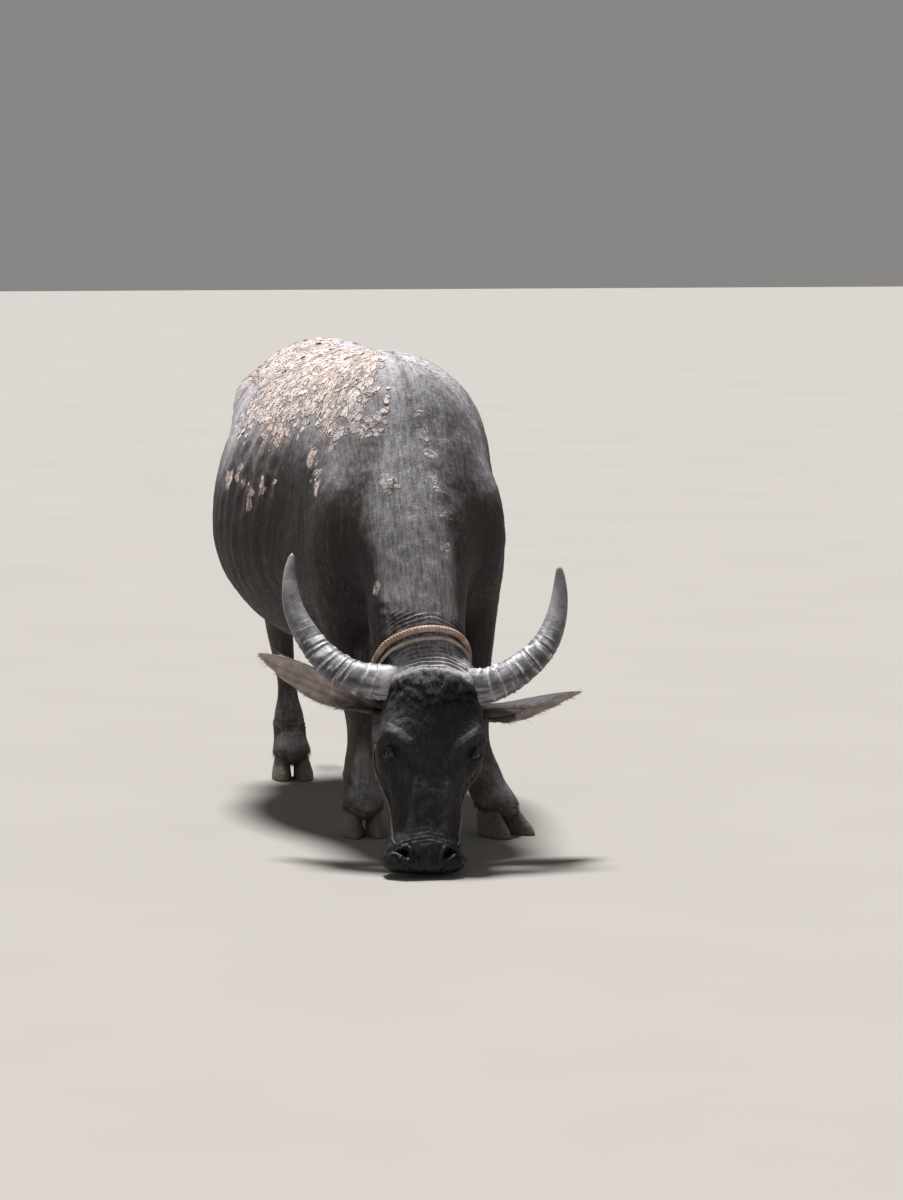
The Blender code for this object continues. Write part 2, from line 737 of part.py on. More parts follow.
def ear(name, side):
    """A leaf-shaped ear, rolled shut at its root and open toward the ground and the front."""
    root, tip = ear_path(side)
    axis = (tip - root).normalized()
    opening = (HEAD_AXES @ Vector((0, 0.85, 0.52 if side < 0 else 0.06))).normalized()
    opening = (opening - axis * opening.dot(axis)).normalized()
    across = axis.cross(opening)
    length = (tip - root).length
    # Down the ear: place, half-breadth, half angle of the rolled wall, wall thickness.
    rows = [
        (0.00, 0.025, 165, 0.0190),
        (0.15, 0.026, 150, 0.0140),
        (0.30, 0.035, 108, 0.0075),
        (0.45, 0.051, 78, 0.0055),
        (0.60, 0.052, 62, 0.0048),
        (0.75, 0.044, 52, 0.0044),
        (0.88, 0.028, 46, 0.0040),
        (0.96, 0.013, 42, 0.0036),
        (1.00, 0.005, 40, 0.0030),
    ]
    rings = []
    for place, half, spread, wall in rows:
        spread = math.radians(spread)
        radius = half / math.sin(min(spread, math.pi / 2))
        droop = 0.020 * math.sin(math.pi * place)
        centre = root + axis * (length * place) + opening * droop
        ring = []
        for k in range(9):
            angle = -spread + 2 * spread * k / 8
            reach = radius
            ring.append(centre + across * reach * math.sin(angle)
                        + opening * (radius - half * 0.4 - reach * math.cos(angle)))
        for k in range(9):
            angle = spread - 2 * spread * k / 8
            reach = radius - wall
            ring.append(centre + across * reach * math.sin(angle)
                        + opening * (radius - half * 0.4 - reach * math.cos(angle)))
        rings.append(ring)
    return skin_rings(name, rings)


def claw(name, centre, heading, side):
    """One half of a cloven hoof: flat sole, sloping front wall, flat inner side."""
    toe = Vector((math.sin(heading), -math.cos(heading), 0))
    across = Vector((math.cos(heading), math.sin(heading), 0))
    # Height, scale of the outline, shift of the outline toward the heel.
    levels = [
        (0.0, 0.94, 0.0),
        (0.006, 1.0, 0.001),
        (0.30, 0.95, 0.010),
        (0.70, 0.84, 0.028),
        (1.0, 0.72, 0.040),
    ]
    rings = []
    for part, scale, back in levels:
        z = part * CLAW_HEIGHT
        ring = []
        for k in range(12):
            angle = 2 * math.pi * k / 12
            x = math.cos(angle)
            y = math.sin(angle)
            outward = x * side
            reach_x = CLAW_WIDTH * (1.0 if outward > 0 else 0.80) * power(x, 2.6)
            reach_y = (CLAW_LENGTH if y > 0 else CLAW_LENGTH * 0.82) * power(y, 2.0)
            taper = 1 - 0.36 * max(y, 0) ** 2
            ring.append(
                centre + across * reach_x * taper * scale
                + toe * (reach_y * scale - back) + Vector((0, 0, z))
            )
        rings.append(ring)
    return skin_rings(name, rings)


def hoof(name, rows, heading, spread):
    """The two claws and two dewclaws of one foot."""
    base = Vector(rows[-1][0])
    fetlock = Vector(rows[-4][0])
    toe = Vector((math.sin(heading), -math.cos(heading), 0))
    across = Vector((math.cos(heading), math.sin(heading), 0))
    pieces = []
    for side, word in ((-1, "right"), (1, "left")):
        place = base + across * side * (CLAW_WIDTH * 0.80 + spread) + toe * 0.012
        place.z = 0
        pieces.append(claw(f"claw_{name}_{word}", place, heading + side * spread * 9, side))
        pieces.append(dewclaw(f"dewclaw_{name}_{word}", fetlock, heading, side))
    return pieces


def floor_block(rows):
    """A cutter that takes the flesh off a little above the soles."""
    foot = rows[-1][0]
    centre = Vector((foot[0], foot[1], -0.08))
    sides = (Vector((1, 0, 0)), Vector((0, 1, 0)), Vector((0, 0, 1)))
    return slab("floor_block", centre, *sides, (0.4, 0.4, 0.2))


def dewclaw(name, centre, heading, side):
    back = Vector((-math.sin(heading), math.cos(heading), 0))
    across = Vector((math.cos(heading), math.sin(heading), 0))
    start = centre + across * side * 0.024 + back * 0.026 + Vector((0, 0, 0.004))
    end = centre + across * side * 0.031 + back * 0.054 + Vector((0, 0, -0.036))
    axis = (end - start).normalized()
    side_axis = axis.cross(Vector((0, 0, 1))).normalized()
    up = side_axis.cross(axis)
    rings = []
    for t, size in ((0.0, 0.017), (0.45, 0.018), (1.0, 0.009)):
        rings.append(oval(start.lerp(end, t), side_axis, up, size, size * 0.8, size * 0.8, 2, 2, 8))
    return skin_rings(name, rings)


def socket(item):
    """A cutter a hair larger than a piece, for the hole that the piece sits in."""
    mesh = item.data.copy()
    normals = [vert.normal.copy() for vert in mesh.vertices]
    for vert, normal in zip(mesh.vertices, normals):
        vert.co += normal * SOCKET_CLEARANCE
    return add_object(item.name + "_socket", mesh, CUTTERS)


def root_plug(item, root, reach):
    """A cutter over the convex outer shape of a piece within reach of its root."""
    bm = bmesh.new()
    for vert in item.data.vertices:
        if (vert.co - root).length < reach:
            bm.verts.new(vert.co)
    hull = bmesh.ops.convex_hull(bm, input=bm.verts[:])
    bmesh.ops.delete(bm, geom=hull["geom_interior"], context="VERTS")
    bmesh.ops.recalc_face_normals(bm, faces=bm.faces[:])
    mesh = bpy.data.meshes.new("plug")
    bm.to_mesh(mesh)
    bm.free()
    plug = add_object(item.name + "_plug", mesh, CUTTERS)
    wide = socket(plug)
    drop(plug)
    return wide


def lock(name, root, tip, out, width, thickness, sag=0.0, stations=4):
    """A flat tapered lock of hair that bends between its root and its tip."""
    axis = (tip - root).normalized()
    flat = (out - axis * out.dot(axis)).normalized()
    across = axis.cross(flat)
    rings = []
    for k in range(stations):
        t = k / (stations - 1)
        shape = math.sin(math.pi * (0.25 + 0.70 * t)) ** 0.8
        centre = root.lerp(tip, t) + flat * sag * math.sin(math.pi * t)
        rings.append(oval(centre, across, flat, width * shape + 0.0008, thickness * shape + 0.0006,
                          thickness * shape + 0.0006, 2, 2, 6))
    return skin_rings(name, rings)


def tail_switch(tail):
    """Locks round the end of the tail, roots sunk in it, tips apart."""
    draw = random.Random(11)
    locks = []
    for k in range(SWITCH_LOCKS):
        turn = 2 * math.pi * k / SWITCH_LOCKS + draw.uniform(-0.15, 0.15)
        out = Vector((math.cos(turn), math.sin(turn), 0))
        drop_at = 0.030 * (k % 3)
        root = SWITCH_TOP + out * 0.004 - Vector((0, 0, drop_at))
        tip = Vector((0.022, 1.303, SWITCH_TIP_HEIGHT + draw.uniform(0.0, 0.05))) + out * 0.017
        locks.append(lock(f"switch_{k}", root, tip, out, 0.015, 0.0062, 0.013))
    combine(tail, "UNION", locks)


def surface_of(*items):
    bm = bmesh.new()
    for item in items:
        bm.from_mesh(item.data)
    tree = BVHTree.FromBMesh(bm)
    bm.free()
    return tree


def touch(tree, start, direction):
    hit, normal, _, _ = tree.ray_cast(start, direction)
    return hit, normal


def forelock(head):
    """Flat locks that lie down the forehead between the horns."""
    draw = random.Random(5)
    tree = surface_of(head)
    out = HEAD_AXES @ Vector((0, 0, 1))
    locks = []
    for row, (down, count, reach) in enumerate(((0.016, 4, 0.080), (0.064, 5, 0.082))):
        for k in range(count):
            across = (k - (count - 1) / 2) * 0.038 + draw.uniform(-0.004, 0.004)
            ends = []
            for distance, lift in ((down, -0.007), (down + reach + draw.uniform(-0.01, 0.01), 0.0035)):
                lean = across * (1.12 if lift > 0 else 1.0)
                hit, _ = touch(tree, on_head(lean, distance, 0.2), -out)
                ends.append(hit + out * lift)
            locks.append(lock(f"forelock_{row}_{k}", ends[0], ends[1], out, 0.019, 0.0045, 0.009))
    combine(head, "UNION", locks)


def lids(side):
    """The bulge of the closed lids, flattened a little from the side, before the gap is cut."""
    item = ball(f"lids_{side}", Vector(), EYE_RADIUS + LID_THICKNESS, 14, 10)
    stretch = face_axes(EYE_DOWN_FACE) @ Matrix.Diagonal((1.0, 1.18, 1.0))
    for vert in item.data.vertices:
        vert.co = stretch @ vert.co + eye_centre(side)
    return item


def eye_opening(side):
    """The gap between the lids: an almond that widens outward from the eye's centre."""
    centre = eye_centre(side)
    axes = face_axes(EYE_DOWN_FACE)
    outward = (axes @ Vector((side * 0.78, 0.06, 0.62))).normalized()
    along = (axes @ Vector((side * -0.70, 0.62, 0.40)))
    along = (along - outward * along.dot(outward)).normalized()
    across = outward.cross(along)
    rings = []
    for reach in (0.25, 1.0, 2.1):
        distance = (EYE_RADIUS + LID_THICKNESS) * reach
        rings.append(oval(centre + outward * distance, along, across, 0.0200 * reach, 0.0112 * reach,
                          0.0112 * reach, 1.7, 1.7, 16))
    return skin_rings(f"lid_gap_{side}", rings, CUTTERS)


def nostril(side):
    """A comma-shaped pit at the front of the muzzle."""
    rings = []
    for reach, half_long, half_short in ((-0.018, 0.006, 0.004), (0.0, 0.013, 0.0075), (0.02, 0.019, 0.012)):
        across = side * (NOSTRIL_OUT + reach * 0.45)
        centre = on_head(across, NOSTRIL_DOWN_FACE + reach * 0.35, -0.030 + reach)
        axes = face_axes(NOSTRIL_DOWN_FACE)
        along = (axes @ Vector((side * 0.72, 0.30, -0.45))).normalized()
        outward = (axes @ Vector((side * 0.40, 0.30, 0.87))).normalized()
        along = (along - outward * along.dot(outward)).normalized()
        rings.append(oval(centre, along, outward.cross(along), half_long, half_short, half_short, 2, 2, 12))
    return skin_rings(f"nostril_cut_{side}", rings, CUTTERS)


def mouth_line(head):
    """A wedge that follows the lips from one corner of the mouth round to the other."""
    tree = surface_of(head)
    rings = []
    turns = 17
    for k in range(turns):
        turn = math.pi * (k / (turns - 1) - 0.5)
        corner = abs(turn) / (math.pi / 2)
        start = on_head(0, MOUTH_DOWN_FACE, -0.112)
        direction = face_axes(MOUTH_DOWN_FACE) @ Vector((math.sin(turn), math.cos(turn), 0.20 * (1 - corner)))
        direction.normalize()
        hit, _ = touch(tree, start, direction)
        up = (HEAD_AXES @ Vector((0, 0, 1))).normalized()
        depth = 0.010 if corner < 0.9 else 0.004
        half = 0.0020
        inner = hit - direction * depth
        outer = hit + direction * 0.010
        rings.append([inner, outer - up * half * 2, outer + up * half * 2])
    return skin_rings("mouth_cut", rings, CUTTERS)


def rope_tube(name, points, radius, closed=False):
    """A rope as a poly curve with round section, made a closed mesh."""
    curve = bpy.data.curves.new(name, "CURVE")
    curve.dimensions = "3D"
    curve.bevel_depth = radius
    curve.bevel_resolution = 2
    curve.use_fill_caps = not closed
    spline = curve.splines.new("POLY")
    spline.points.add(len(points) - 1)
    for knot, place in zip(spline.points, points):
        knot.co = (*place, 1)
    spline.use_cyclic_u = closed
    tube = add_object(name, curve)
    mesh = evaluated_mesh(tube)
    drop(tube)
    bpy.data.curves.remove(curve)
    bm = bmesh.new()
    bm.from_mesh(mesh)
    bmesh.ops.remove_doubles(bm, verts=bm.verts[:], dist=0.00005)
    bmesh.ops.triangulate(bm, faces=bm.faces[:])
    bmesh.ops.recalc_face_normals(bm, faces=bm.faces[:])
    bm.to_mesh(mesh)
    bm.free()
    return add_object(name, mesh)


def collar_ring(name, pieces, crest, under, radius, lift, count=32):
    """A rope ring that lies on the neck in the plane through its crest and underside."""
    tree = surface_of(*pieces)
    top = Vector((-0.022, *crest))
    low = Vector((-0.022, *under))
    centre = (top + low) / 2
    up = (top - low).normalized()
    side = Vector((1, 0, 0))
    points = []
    for k in range(count):
        turn = 2 * math.pi * k / count
        direction = side * math.cos(turn) + up * math.sin(turn)
        hit, _ = touch(tree, centre + direction * 0.5, -direction)
        points.append(hit + direction * (radius + lift))
    return rope_tube(name, points, radius, closed=True)


def nose_rope(name, side, pieces):
    """A thin rope from the nostril up the cheek and behind the ear to the poll."""
    tree = surface_of(*pieces)
    # Across, down the face, out of the face, from the nostril to the poll.
    route = [
        (0.074, 0.488, -0.030),
        (0.092, 0.452, -0.048),
        (0.100, 0.395, -0.062),
        (0.112, 0.335, -0.080),
        (0.126, 0.275, -0.102),
        (0.134, 0.215, -0.130),
        (0.134, 0.155, -0.172),
        (0.130, 0.100, -0.202),
        (0.126, 0.070, -0.212),
    ]
    points = []
    for across, down, out in (row[:3] for row in smooth_rows(route, 3)):
        target = on_head(0, down, out - 0.02)
        start = on_head(side * 0.30, down, out + 0.02)
        direction = (target - start).normalized()
        hit, _ = touch(tree, start, direction)
        points.append(hit - direction * (NOSE_ROPE_RADIUS + NOSE_ROPE_LIFT))
    return rope_tube(name, points, NOSE_ROPE_RADIUS)


# Colours are linear; each material gives roughness too.
FINISHES = {
    "hide": ((0.050, 0.046, 0.045, 1), 0.78),
    "hair": ((0.016, 0.014, 0.013, 1), 0.85),
    "horn": ((0.150, 0.150, 0.155, 1), 0.55),
    "ear": ((0.170, 0.125, 0.110, 1), 0.80),
    "eye": ((0.012, 0.008, 0.006, 1), 0.12),
    "hoof": ((0.120, 0.110, 0.100, 1), 0.60),
    "collar_rope": ((0.300, 0.120, 0.050, 1), 0.85),
    "pale_rope": ((0.420, 0.360, 0.290, 1), 0.88),
}


def finish(item, kind):
    """Each piece has its own material."""
    colour, roughness = FINISHES[kind]
    material = bpy.data.materials.new(f"{item.name}_{kind}")
    material.use_nodes = True
    shader = material.node_tree.nodes["Principled BSDF"]
    shader.inputs["Base Color"].default_value = colour
    shader.inputs["Roughness"].default_value = roughness
    shader.inputs["Metallic"].default_value = 0.0
    item.data.materials.clear()
    item.data.materials.append(material)
    item.data.shade_smooth()
    item.data.set_sharp_from_angle(angle=math.radians(50))


def main():
    clear_scene()
    named = part_flesh(flesh())
    head = named["head"]

    forelock(head)
    combine(head, "UNION", [lids(-1), lids(1)])
    openings = [eye_opening(-1), eye_opening(1), nostril(-1), nostril(1), mouth_line(head)]
    combine(head, "DIFFERENCE", openings)
    sockets = []
    for side, word in ((-1, "right"), (1, "left")):
        horn_piece = horn(f"horn_{word}", HORN_RIGHT if side < 0 else HORN_LEFT)
        ear_piece = ear(f"ear_{word}", side)
        eye_piece = ball(f"eye_{word}", eye_centre(side), EYE_RADIUS)
        ear_plug = root_plug(ear_piece, ear_path(side)[0], EAR_ROOT_REACH)
        sockets += [socket(horn_piece), ear_plug, socket(eye_piece)]
        finish(horn_piece, "horn")
        finish(ear_piece, "ear")
        finish(eye_piece, "eye")
    combine(head, "DIFFERENCE", sockets)
    tail_switch(named["tail"])

    for name, rows, heading, spread in FEET:
        leg = named[f"leg_{name}"]
        horny = hoof(name, rows, math.radians(heading), spread)
        combine(leg, "DIFFERENCE", [socket(item) for item in horny] + [floor_block(rows)])
        for item in horny:
            finish(item, "hoof")
    for item in named.values():
        finish(item, "hide")

    wall = [named["neck"], head]
    finish(collar_ring("collar_rope", wall, *COLLAR_ROPE_AT, COLLAR_RADIUS, COLLAR_LIFT), "collar_rope")
    finish(collar_ring("collar_cord", wall, *COLLAR_CORD_AT, COLLAR_THIN_RADIUS, COLLAR_LIFT), "pale_rope")
    finish(nose_rope("nose_rope_right", -1, wall), "pale_rope")
    finish(nose_rope("nose_rope_left", 1, wall), "pale_rope")
    place_origin()


def place_origin():
    """Puts the origin on the floor under the middle of the animal, by a parent empty."""
    items = list(bpy.data.collections[COLLECTION].objects)
    corners = [vert.co for item in items for vert in item.data.vertices]
    low = Vector([min(p[i] for p in corners) for i in range(3)])
    high = Vector([max(p[i] for p in corners) for i in range(3)])
    base = bpy.data.objects.new("floor_point", None)
    bpy.data.collections[COLLECTION].objects.link(base)
    base.location = (-(low.x + high.x) / 2, -(low.y + high.y) / 2, -low.z)
    for item in items:
        item.parent = base
    bpy.context.view_layer.update()


main()
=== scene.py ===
# %% [markdown]
# # A grazing swamp buffalo, life size
# This lesson dresses a plain solid model of a standing buffalo, so that it looks like an
# animal of flesh, horn and dusty hide. The solids come in as a fixed frame, and every
# piece made here sits exactly where its solid sits.

import math

import bmesh
import bpy
import numpy as np
from mathutils import Matrix, Vector, noise
from mathutils.bvhtree import BVHTree


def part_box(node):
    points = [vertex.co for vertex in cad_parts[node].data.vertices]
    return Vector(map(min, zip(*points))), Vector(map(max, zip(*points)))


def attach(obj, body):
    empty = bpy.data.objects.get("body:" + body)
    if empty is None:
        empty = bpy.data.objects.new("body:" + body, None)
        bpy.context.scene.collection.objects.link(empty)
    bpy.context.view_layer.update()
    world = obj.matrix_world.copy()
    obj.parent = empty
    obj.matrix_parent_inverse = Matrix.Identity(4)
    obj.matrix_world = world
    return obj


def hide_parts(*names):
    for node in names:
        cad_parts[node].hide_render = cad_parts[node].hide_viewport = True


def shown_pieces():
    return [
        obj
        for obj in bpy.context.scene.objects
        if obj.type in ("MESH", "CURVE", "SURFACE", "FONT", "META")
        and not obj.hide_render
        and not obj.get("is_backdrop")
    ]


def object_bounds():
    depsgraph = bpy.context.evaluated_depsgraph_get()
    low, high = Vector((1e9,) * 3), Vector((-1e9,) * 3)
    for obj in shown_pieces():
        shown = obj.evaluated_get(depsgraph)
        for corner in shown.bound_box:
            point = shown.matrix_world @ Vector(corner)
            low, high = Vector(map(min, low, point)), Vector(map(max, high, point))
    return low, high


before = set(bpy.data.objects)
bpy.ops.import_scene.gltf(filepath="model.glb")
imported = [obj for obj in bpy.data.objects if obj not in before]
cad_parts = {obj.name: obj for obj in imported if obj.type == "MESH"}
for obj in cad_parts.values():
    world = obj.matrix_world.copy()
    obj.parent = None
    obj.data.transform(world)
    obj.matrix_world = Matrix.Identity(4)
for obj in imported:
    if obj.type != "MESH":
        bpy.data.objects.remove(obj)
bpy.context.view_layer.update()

# %% [markdown]
# ## Where the head is
# A head that is turned, bent down and tilted is hard to shape in world directions. It is
# simpler to give it three directions of its own: across to the animal's left, down the
# face, and out of the face. Below the poll the face turns a little further, so these
# directions turn with it. The two eyes of the frame tell where the head sits.

# %% Head axes and the withers point
PITCH = math.radians(61)
YAW = math.radians(13)
ROLL = math.radians(-3.2)
FACE_TURN, FACE_RISE = math.radians(8), 0.09
TURN_START, TURN_END, TURN_DEPTH = 0.05, 0.22, -0.09
EYE_OUT, EYE_DOWN, EYE_BACK = 0.099, 0.252, -0.031
EYE_RADIUS = 0.0205


def head_directions():
    """Columns: the animal's left, down the face, and out of the face."""
    forward = Vector((-math.sin(YAW), -math.cos(YAW), 0))
    left = Vector((math.cos(YAW), -math.sin(YAW), 0))
    up = Vector((0, 0, 1))
    down_face = forward * math.cos(PITCH) - up * math.sin(PITCH)
    out = forward * math.sin(PITCH) + up * math.cos(PITCH)
    roll = Matrix.Rotation(ROLL, 3, out)
    return np.array(Matrix((roll @ left, roll @ down_face, out)).transposed())


def turn_share(down):
    t = np.clip((down - TURN_START) / (TURN_END - TURN_START), 0, 1)
    return t * t * (3 - 2 * t)


def face_axes(down):
    """The head's directions at a distance down it, turned and slanted with the face."""
    share = turn_share(down)
    c, s = math.cos(FACE_TURN * share), math.sin(FACE_TURN * share)
    return AXES @ np.array(((c, 0, s), (-FACE_RISE * share, 1, 0), (-s, 0, c)))


def middle_of(node):
    low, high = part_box(node)
    return np.array((low + high) / 2)


AXES = head_directions()
eye_at = {-1: middle_of("eye_right"), 1: middle_of("eye_left")}
between_eyes = (eye_at[-1] + eye_at[1]) / 2
HEAD_POINT = (between_eyes - AXES @ np.array((0, EYE_DOWN, TURN_DEPTH))
              - face_axes(EYE_DOWN) @ np.array((0, 0, EYE_BACK - TURN_DEPTH)))
WITHERS = HEAD_POINT - np.array((-0.014, -0.520, 0.527))


def on_head(across, down, out):
    pivot = AXES @ np.array((0, down, TURN_DEPTH))
    return HEAD_POINT + pivot + face_axes(down) @ np.array((across, 0, out - TURN_DEPTH))


def head_view(points):
    """Points as across, down the face and out of the face: the inverse of on_head."""
    across, down, out = ((points - HEAD_POINT) @ AXES).T
    depth = out - TURN_DEPTH
    share = turn_share(down)
    for _ in range(2):
        c, s = np.cos(FACE_TURN * share), np.sin(FACE_TURN * share)
        a = c * across - s * depth
        o = s * across + c * depth + TURN_DEPTH
        d = down + FACE_RISE * share * a
        share = turn_share(d)
    return np.column_stack([a, d, o])


print("head point", HEAD_POINT.round(4), "withers", WITHERS.round(4))

# %% [markdown]
# ## Small tools for shaping
# Sculpting by code needs few tools: a ramp from 0 to 1, a soft bump round a point, a
# surface that can be relaxed, and noise that is the same at every run. They are written
# with numpy, because a hide has some hundred thousand points.

# %% Ramps, noise and relaxing
def ramp(value, start, end):
    """0 before start, 1 after end, and smooth in between."""
    t = np.clip((value - start) / (end - start), 0, 1)
    return t * t * (3 - 2 * t)


def bump(points, centre, radius):
    """1 at the centre, falling softly to 0 within about two radii."""
    away = ((points - np.asarray(centre)) ** 2).sum(1)
    return np.exp(-away / (radius * radius))


def grain(points, size, seed=0, octaves=3):
    """Smooth noise from about -1 to 1, with swellings of the given size in metres."""
    shift = Vector((seed * 7.31, seed * 3.17, seed * 5.77))
    scaled = points / size
    return np.array([noise.fractal(Vector(p) + shift, 0.6, 2.0, octaves) for p in scaled])


def relax(points, edges, share, rounds):
    """Moves each point toward the mean of its neighbours, by its own share."""
    a, b = edges[:, 0], edges[:, 1]
    count = len(points)
    degree = np.bincount(a, minlength=count) + np.bincount(b, minlength=count)
    degree = np.maximum(degree, 1)
    share = np.asarray(share)[:, None] if np.ndim(share) else share
    for _ in range(rounds):
        mean = np.empty_like(points)
        for i in range(3):
            mean[:, i] = np.bincount(a, points[b, i], count) + np.bincount(b, points[a, i], count)
        points = points + (mean / degree[:, None] - points) * share
    return points


# %% Reading, writing and building meshes
def read_points(mesh, what="co"):
    flat = np.empty(len(mesh.vertices) * 3)
    mesh.vertices.foreach_get(what, flat)
    return flat.reshape(-1, 3)


def write_points(mesh, points):
    mesh.vertices.foreach_set("co", points.astype(np.float32).ravel())
    mesh.update()


def read_edges(mesh):
    flat = np.empty(len(mesh.edges) * 2, np.int32)
    mesh.edges.foreach_get("vertices", flat)
    return flat.reshape(-1, 2)


def mesh_of(name, points, faces):
    """A mesh from arrays of points and of faces that all have the same number of corners."""
    mesh = bpy.data.meshes.new(name)
    corners = faces.shape[1]
    mesh.vertices.add(len(points))
    mesh.loops.add(faces.size)
    mesh.polygons.add(len(faces))
    mesh.vertices.foreach_set("co", points.astype(np.float32).ravel())
    mesh.loops.foreach_set("vertex_index", faces.astype(np.int32).ravel())
    mesh.polygons.foreach_set("loop_start", np.arange(0, faces.size, corners, dtype=np.int32))
    mesh.update(calc_edges=True)
    mesh.validate()
    return mesh


def piece(name, mesh, smooth=True):
    item = bpy.data.objects.new(name, mesh)
    bpy.context.scene.collection.objects.link(item)
    if smooth:
        mesh.polygons.foreach_set("use_smooth", np.ones(len(mesh.polygons), bool))
    return item


def give(mesh, name, values):
    """Stores one number for each point, for materials to read."""
    slot = mesh.attributes.get(name) or mesh.attributes.new(name, "FLOAT", "POINT")
    slot.data.foreach_set("value", np.asarray(values, np.float32))


def baked(item):
    """The item's mesh with its modifiers applied, put back on the item."""
    bpy.context.view_layer.update()
    evaluated = item.evaluated_get(bpy.context.evaluated_depsgraph_get())
    mesh = bpy.data.meshes.new_from_object(evaluated)
    item.modifiers.clear()
    item.data = mesh
    return item


def triangles(item):
    return sum(len(face.vertices) - 2 for face in item.data.polygons)


def loft(rings, closed=False):
    """Points and quads of a skin over rings that all have the same number of points."""
    rings = np.asarray(rings)
    count, around = rings.shape[:2]
    i = np.arange(count if closed else count - 1)[:, None]
    k = np.arange(around)[None, :]
    j = (i + 1) % count
    n = (k + 1) % around
    quads = np.stack([i * around + k, i * around + n, j * around + n, j * around + k], -1)
    return rings.reshape(-1, 3), quads.reshape(-1, 4)


# %% [markdown]
# ## Colour and nodes
# Colours are picked as screen colours and turned to the linear numbers that the renderer
# works in. One small function adds any node, sets it and links it.

# %% Colour and node helpers
def colour(code):
    parts = [int(code[i:i + 2], 16) / 255 for i in (1, 3, 5)]
    return tuple(c / 12.92 if c <= 0.04045 else ((c + 0.055) / 1.055) ** 2.4 for c in parts) + (1.0,)


def add(tree, kind, links=None, **settings):
    """Adds a node. links maps an input's name or number to a socket or to a plain value."""
    made = tree.nodes.new(kind)
    for key, value in settings.items():
        setattr(made, key, value)
    for key, source in (links or {}).items():
        if isinstance(source, bpy.types.NodeSocket):
            tree.links.new(source, made.inputs[key])
        else:
            made.inputs[key].default_value = source
    return made


def mix(tree, share, first, second, way="MIX"):
    made = add(tree, "ShaderNodeMix", {0: share, 6: first, 7: second}, data_type="RGBA", blend_type=way)
    return made.outputs[2]


def maths(tree, way, *values):
    made = add(tree, "ShaderNodeMath", dict(enumerate(values)), operation=way)
    return made.outputs[0]


def spread(tree, value, low, high, to_low=0.0, to_high=1.0):
    links = {0: value, 1: low, 2: high, 3: to_low, 4: to_high}
    return add(tree, "ShaderNodeMapRange", links, clamp=True).outputs[0]


def new_material(name, roughness, **shader_values):
    material = bpy.data.materials.new(name)
    material.use_nodes = True
    tree = material.node_tree
    shader = tree.nodes["Principled BSDF"]
    shader.inputs["Roughness"].default_value = roughness
    for key, value in shader_values.items():
        shader.inputs[key.replace("_", " ")].default_value = value
    place = add(tree, "ShaderNodeTexCoord").outputs["Object"]
    return material, tree, shader, place


def speckle(tree, place, size, detail=3.0, stretch=(1, 1, 1), rough=0.55):
    """Noise from 0 to 1 with swellings of the given size in metres."""
    scaled = add(tree, "ShaderNodeMapping", {"Vector": place, "Scale": [s / size for s in stretch]})
    links = {"Vector": scaled.outputs[0], "Scale": 1.0, "Detail": detail, "Roughness": rough}
    return add(tree, "ShaderNodeTexNoise", links).outputs[0]


def cells(tree, place, size, feature="DISTANCE_TO_EDGE", stretch=(1, 1, 1)):
    scaled = add(tree, "ShaderNodeMapping", {"Vector": place, "Scale": [s / size for s in stretch]})
    made = add(tree, "ShaderNodeTexVoronoi", {"Vector": scaled.outputs[0], "Scale": 1.0}, feature=feature)
    return made.outputs["Distance"]


def relief(tree, height, distance, strength=1.0, below=None):
    links = {"Height": height, "Distance": distance, "Strength": strength}
    if below is not None:
        links["Normal"] = below
    return add(tree, "ShaderNodeBump", links).outputs[0]


def marking(tree, name):
    return add(tree, "ShaderNodeAttribute", attribute_name=name).outputs["Fac"]


# %% [markdown]
# ## The hide in one piece
# The solids part the animal into head, neck, torso, tail and legs by cuts as thin as a
# hair. A real hide has no such seams. The solids could be joined by a Boolean, but their
# flat faces would stay. So copies are puffed out by less than a millimetre, rebuilt as
# one skin of small even squares (a voxel remesh), and then relaxed until no flat face
# shows: much on the barrel, little on the legs and the head.

# %% Copies of the flesh
FLESH = ["head", "neck", "torso", "tail", "leg_front_right", "leg_front_left", "leg_hind_right", "leg_hind_left"]
PUFF = 0.0005
DOCK_END = 0.648


def merged_copy(node):
    """The node's own surface with its loose triangles welded."""
    work = bmesh.new()
    work.from_mesh(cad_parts[node].data)
    bmesh.ops.remove_doubles(work, verts=work.verts[:], dist=1e-5)
    work.normal_update()
    return work


def tube(centres, radii, around=20, hint=(0, 0, 1), flatten=1.0, bends=None):
    """Rings round a line of centres, each of its own radius and squeezed sideways by flatten."""
    centres = np.asarray(centres, float)
    along = np.gradient(centres, axis=0)
    along /= np.linalg.norm(along, axis=1)[:, None]
    side = np.asarray(hint, float) - along * (along @ np.asarray(hint, float))[:, None]
    side /= np.linalg.norm(side, axis=1)[:, None]
    other = np.cross(along, side)
    turn = np.linspace(0, 2 * math.pi, around, endpoint=False)
    radii = np.asarray(radii, float)
    rings = (centres[:, None] + radii[:, None, None] * flatten * np.cos(turn)[None, :, None] * side[:, None]
             + radii[:, None, None] * np.sin(turn)[None, :, None] * other[:, None])
    return rings


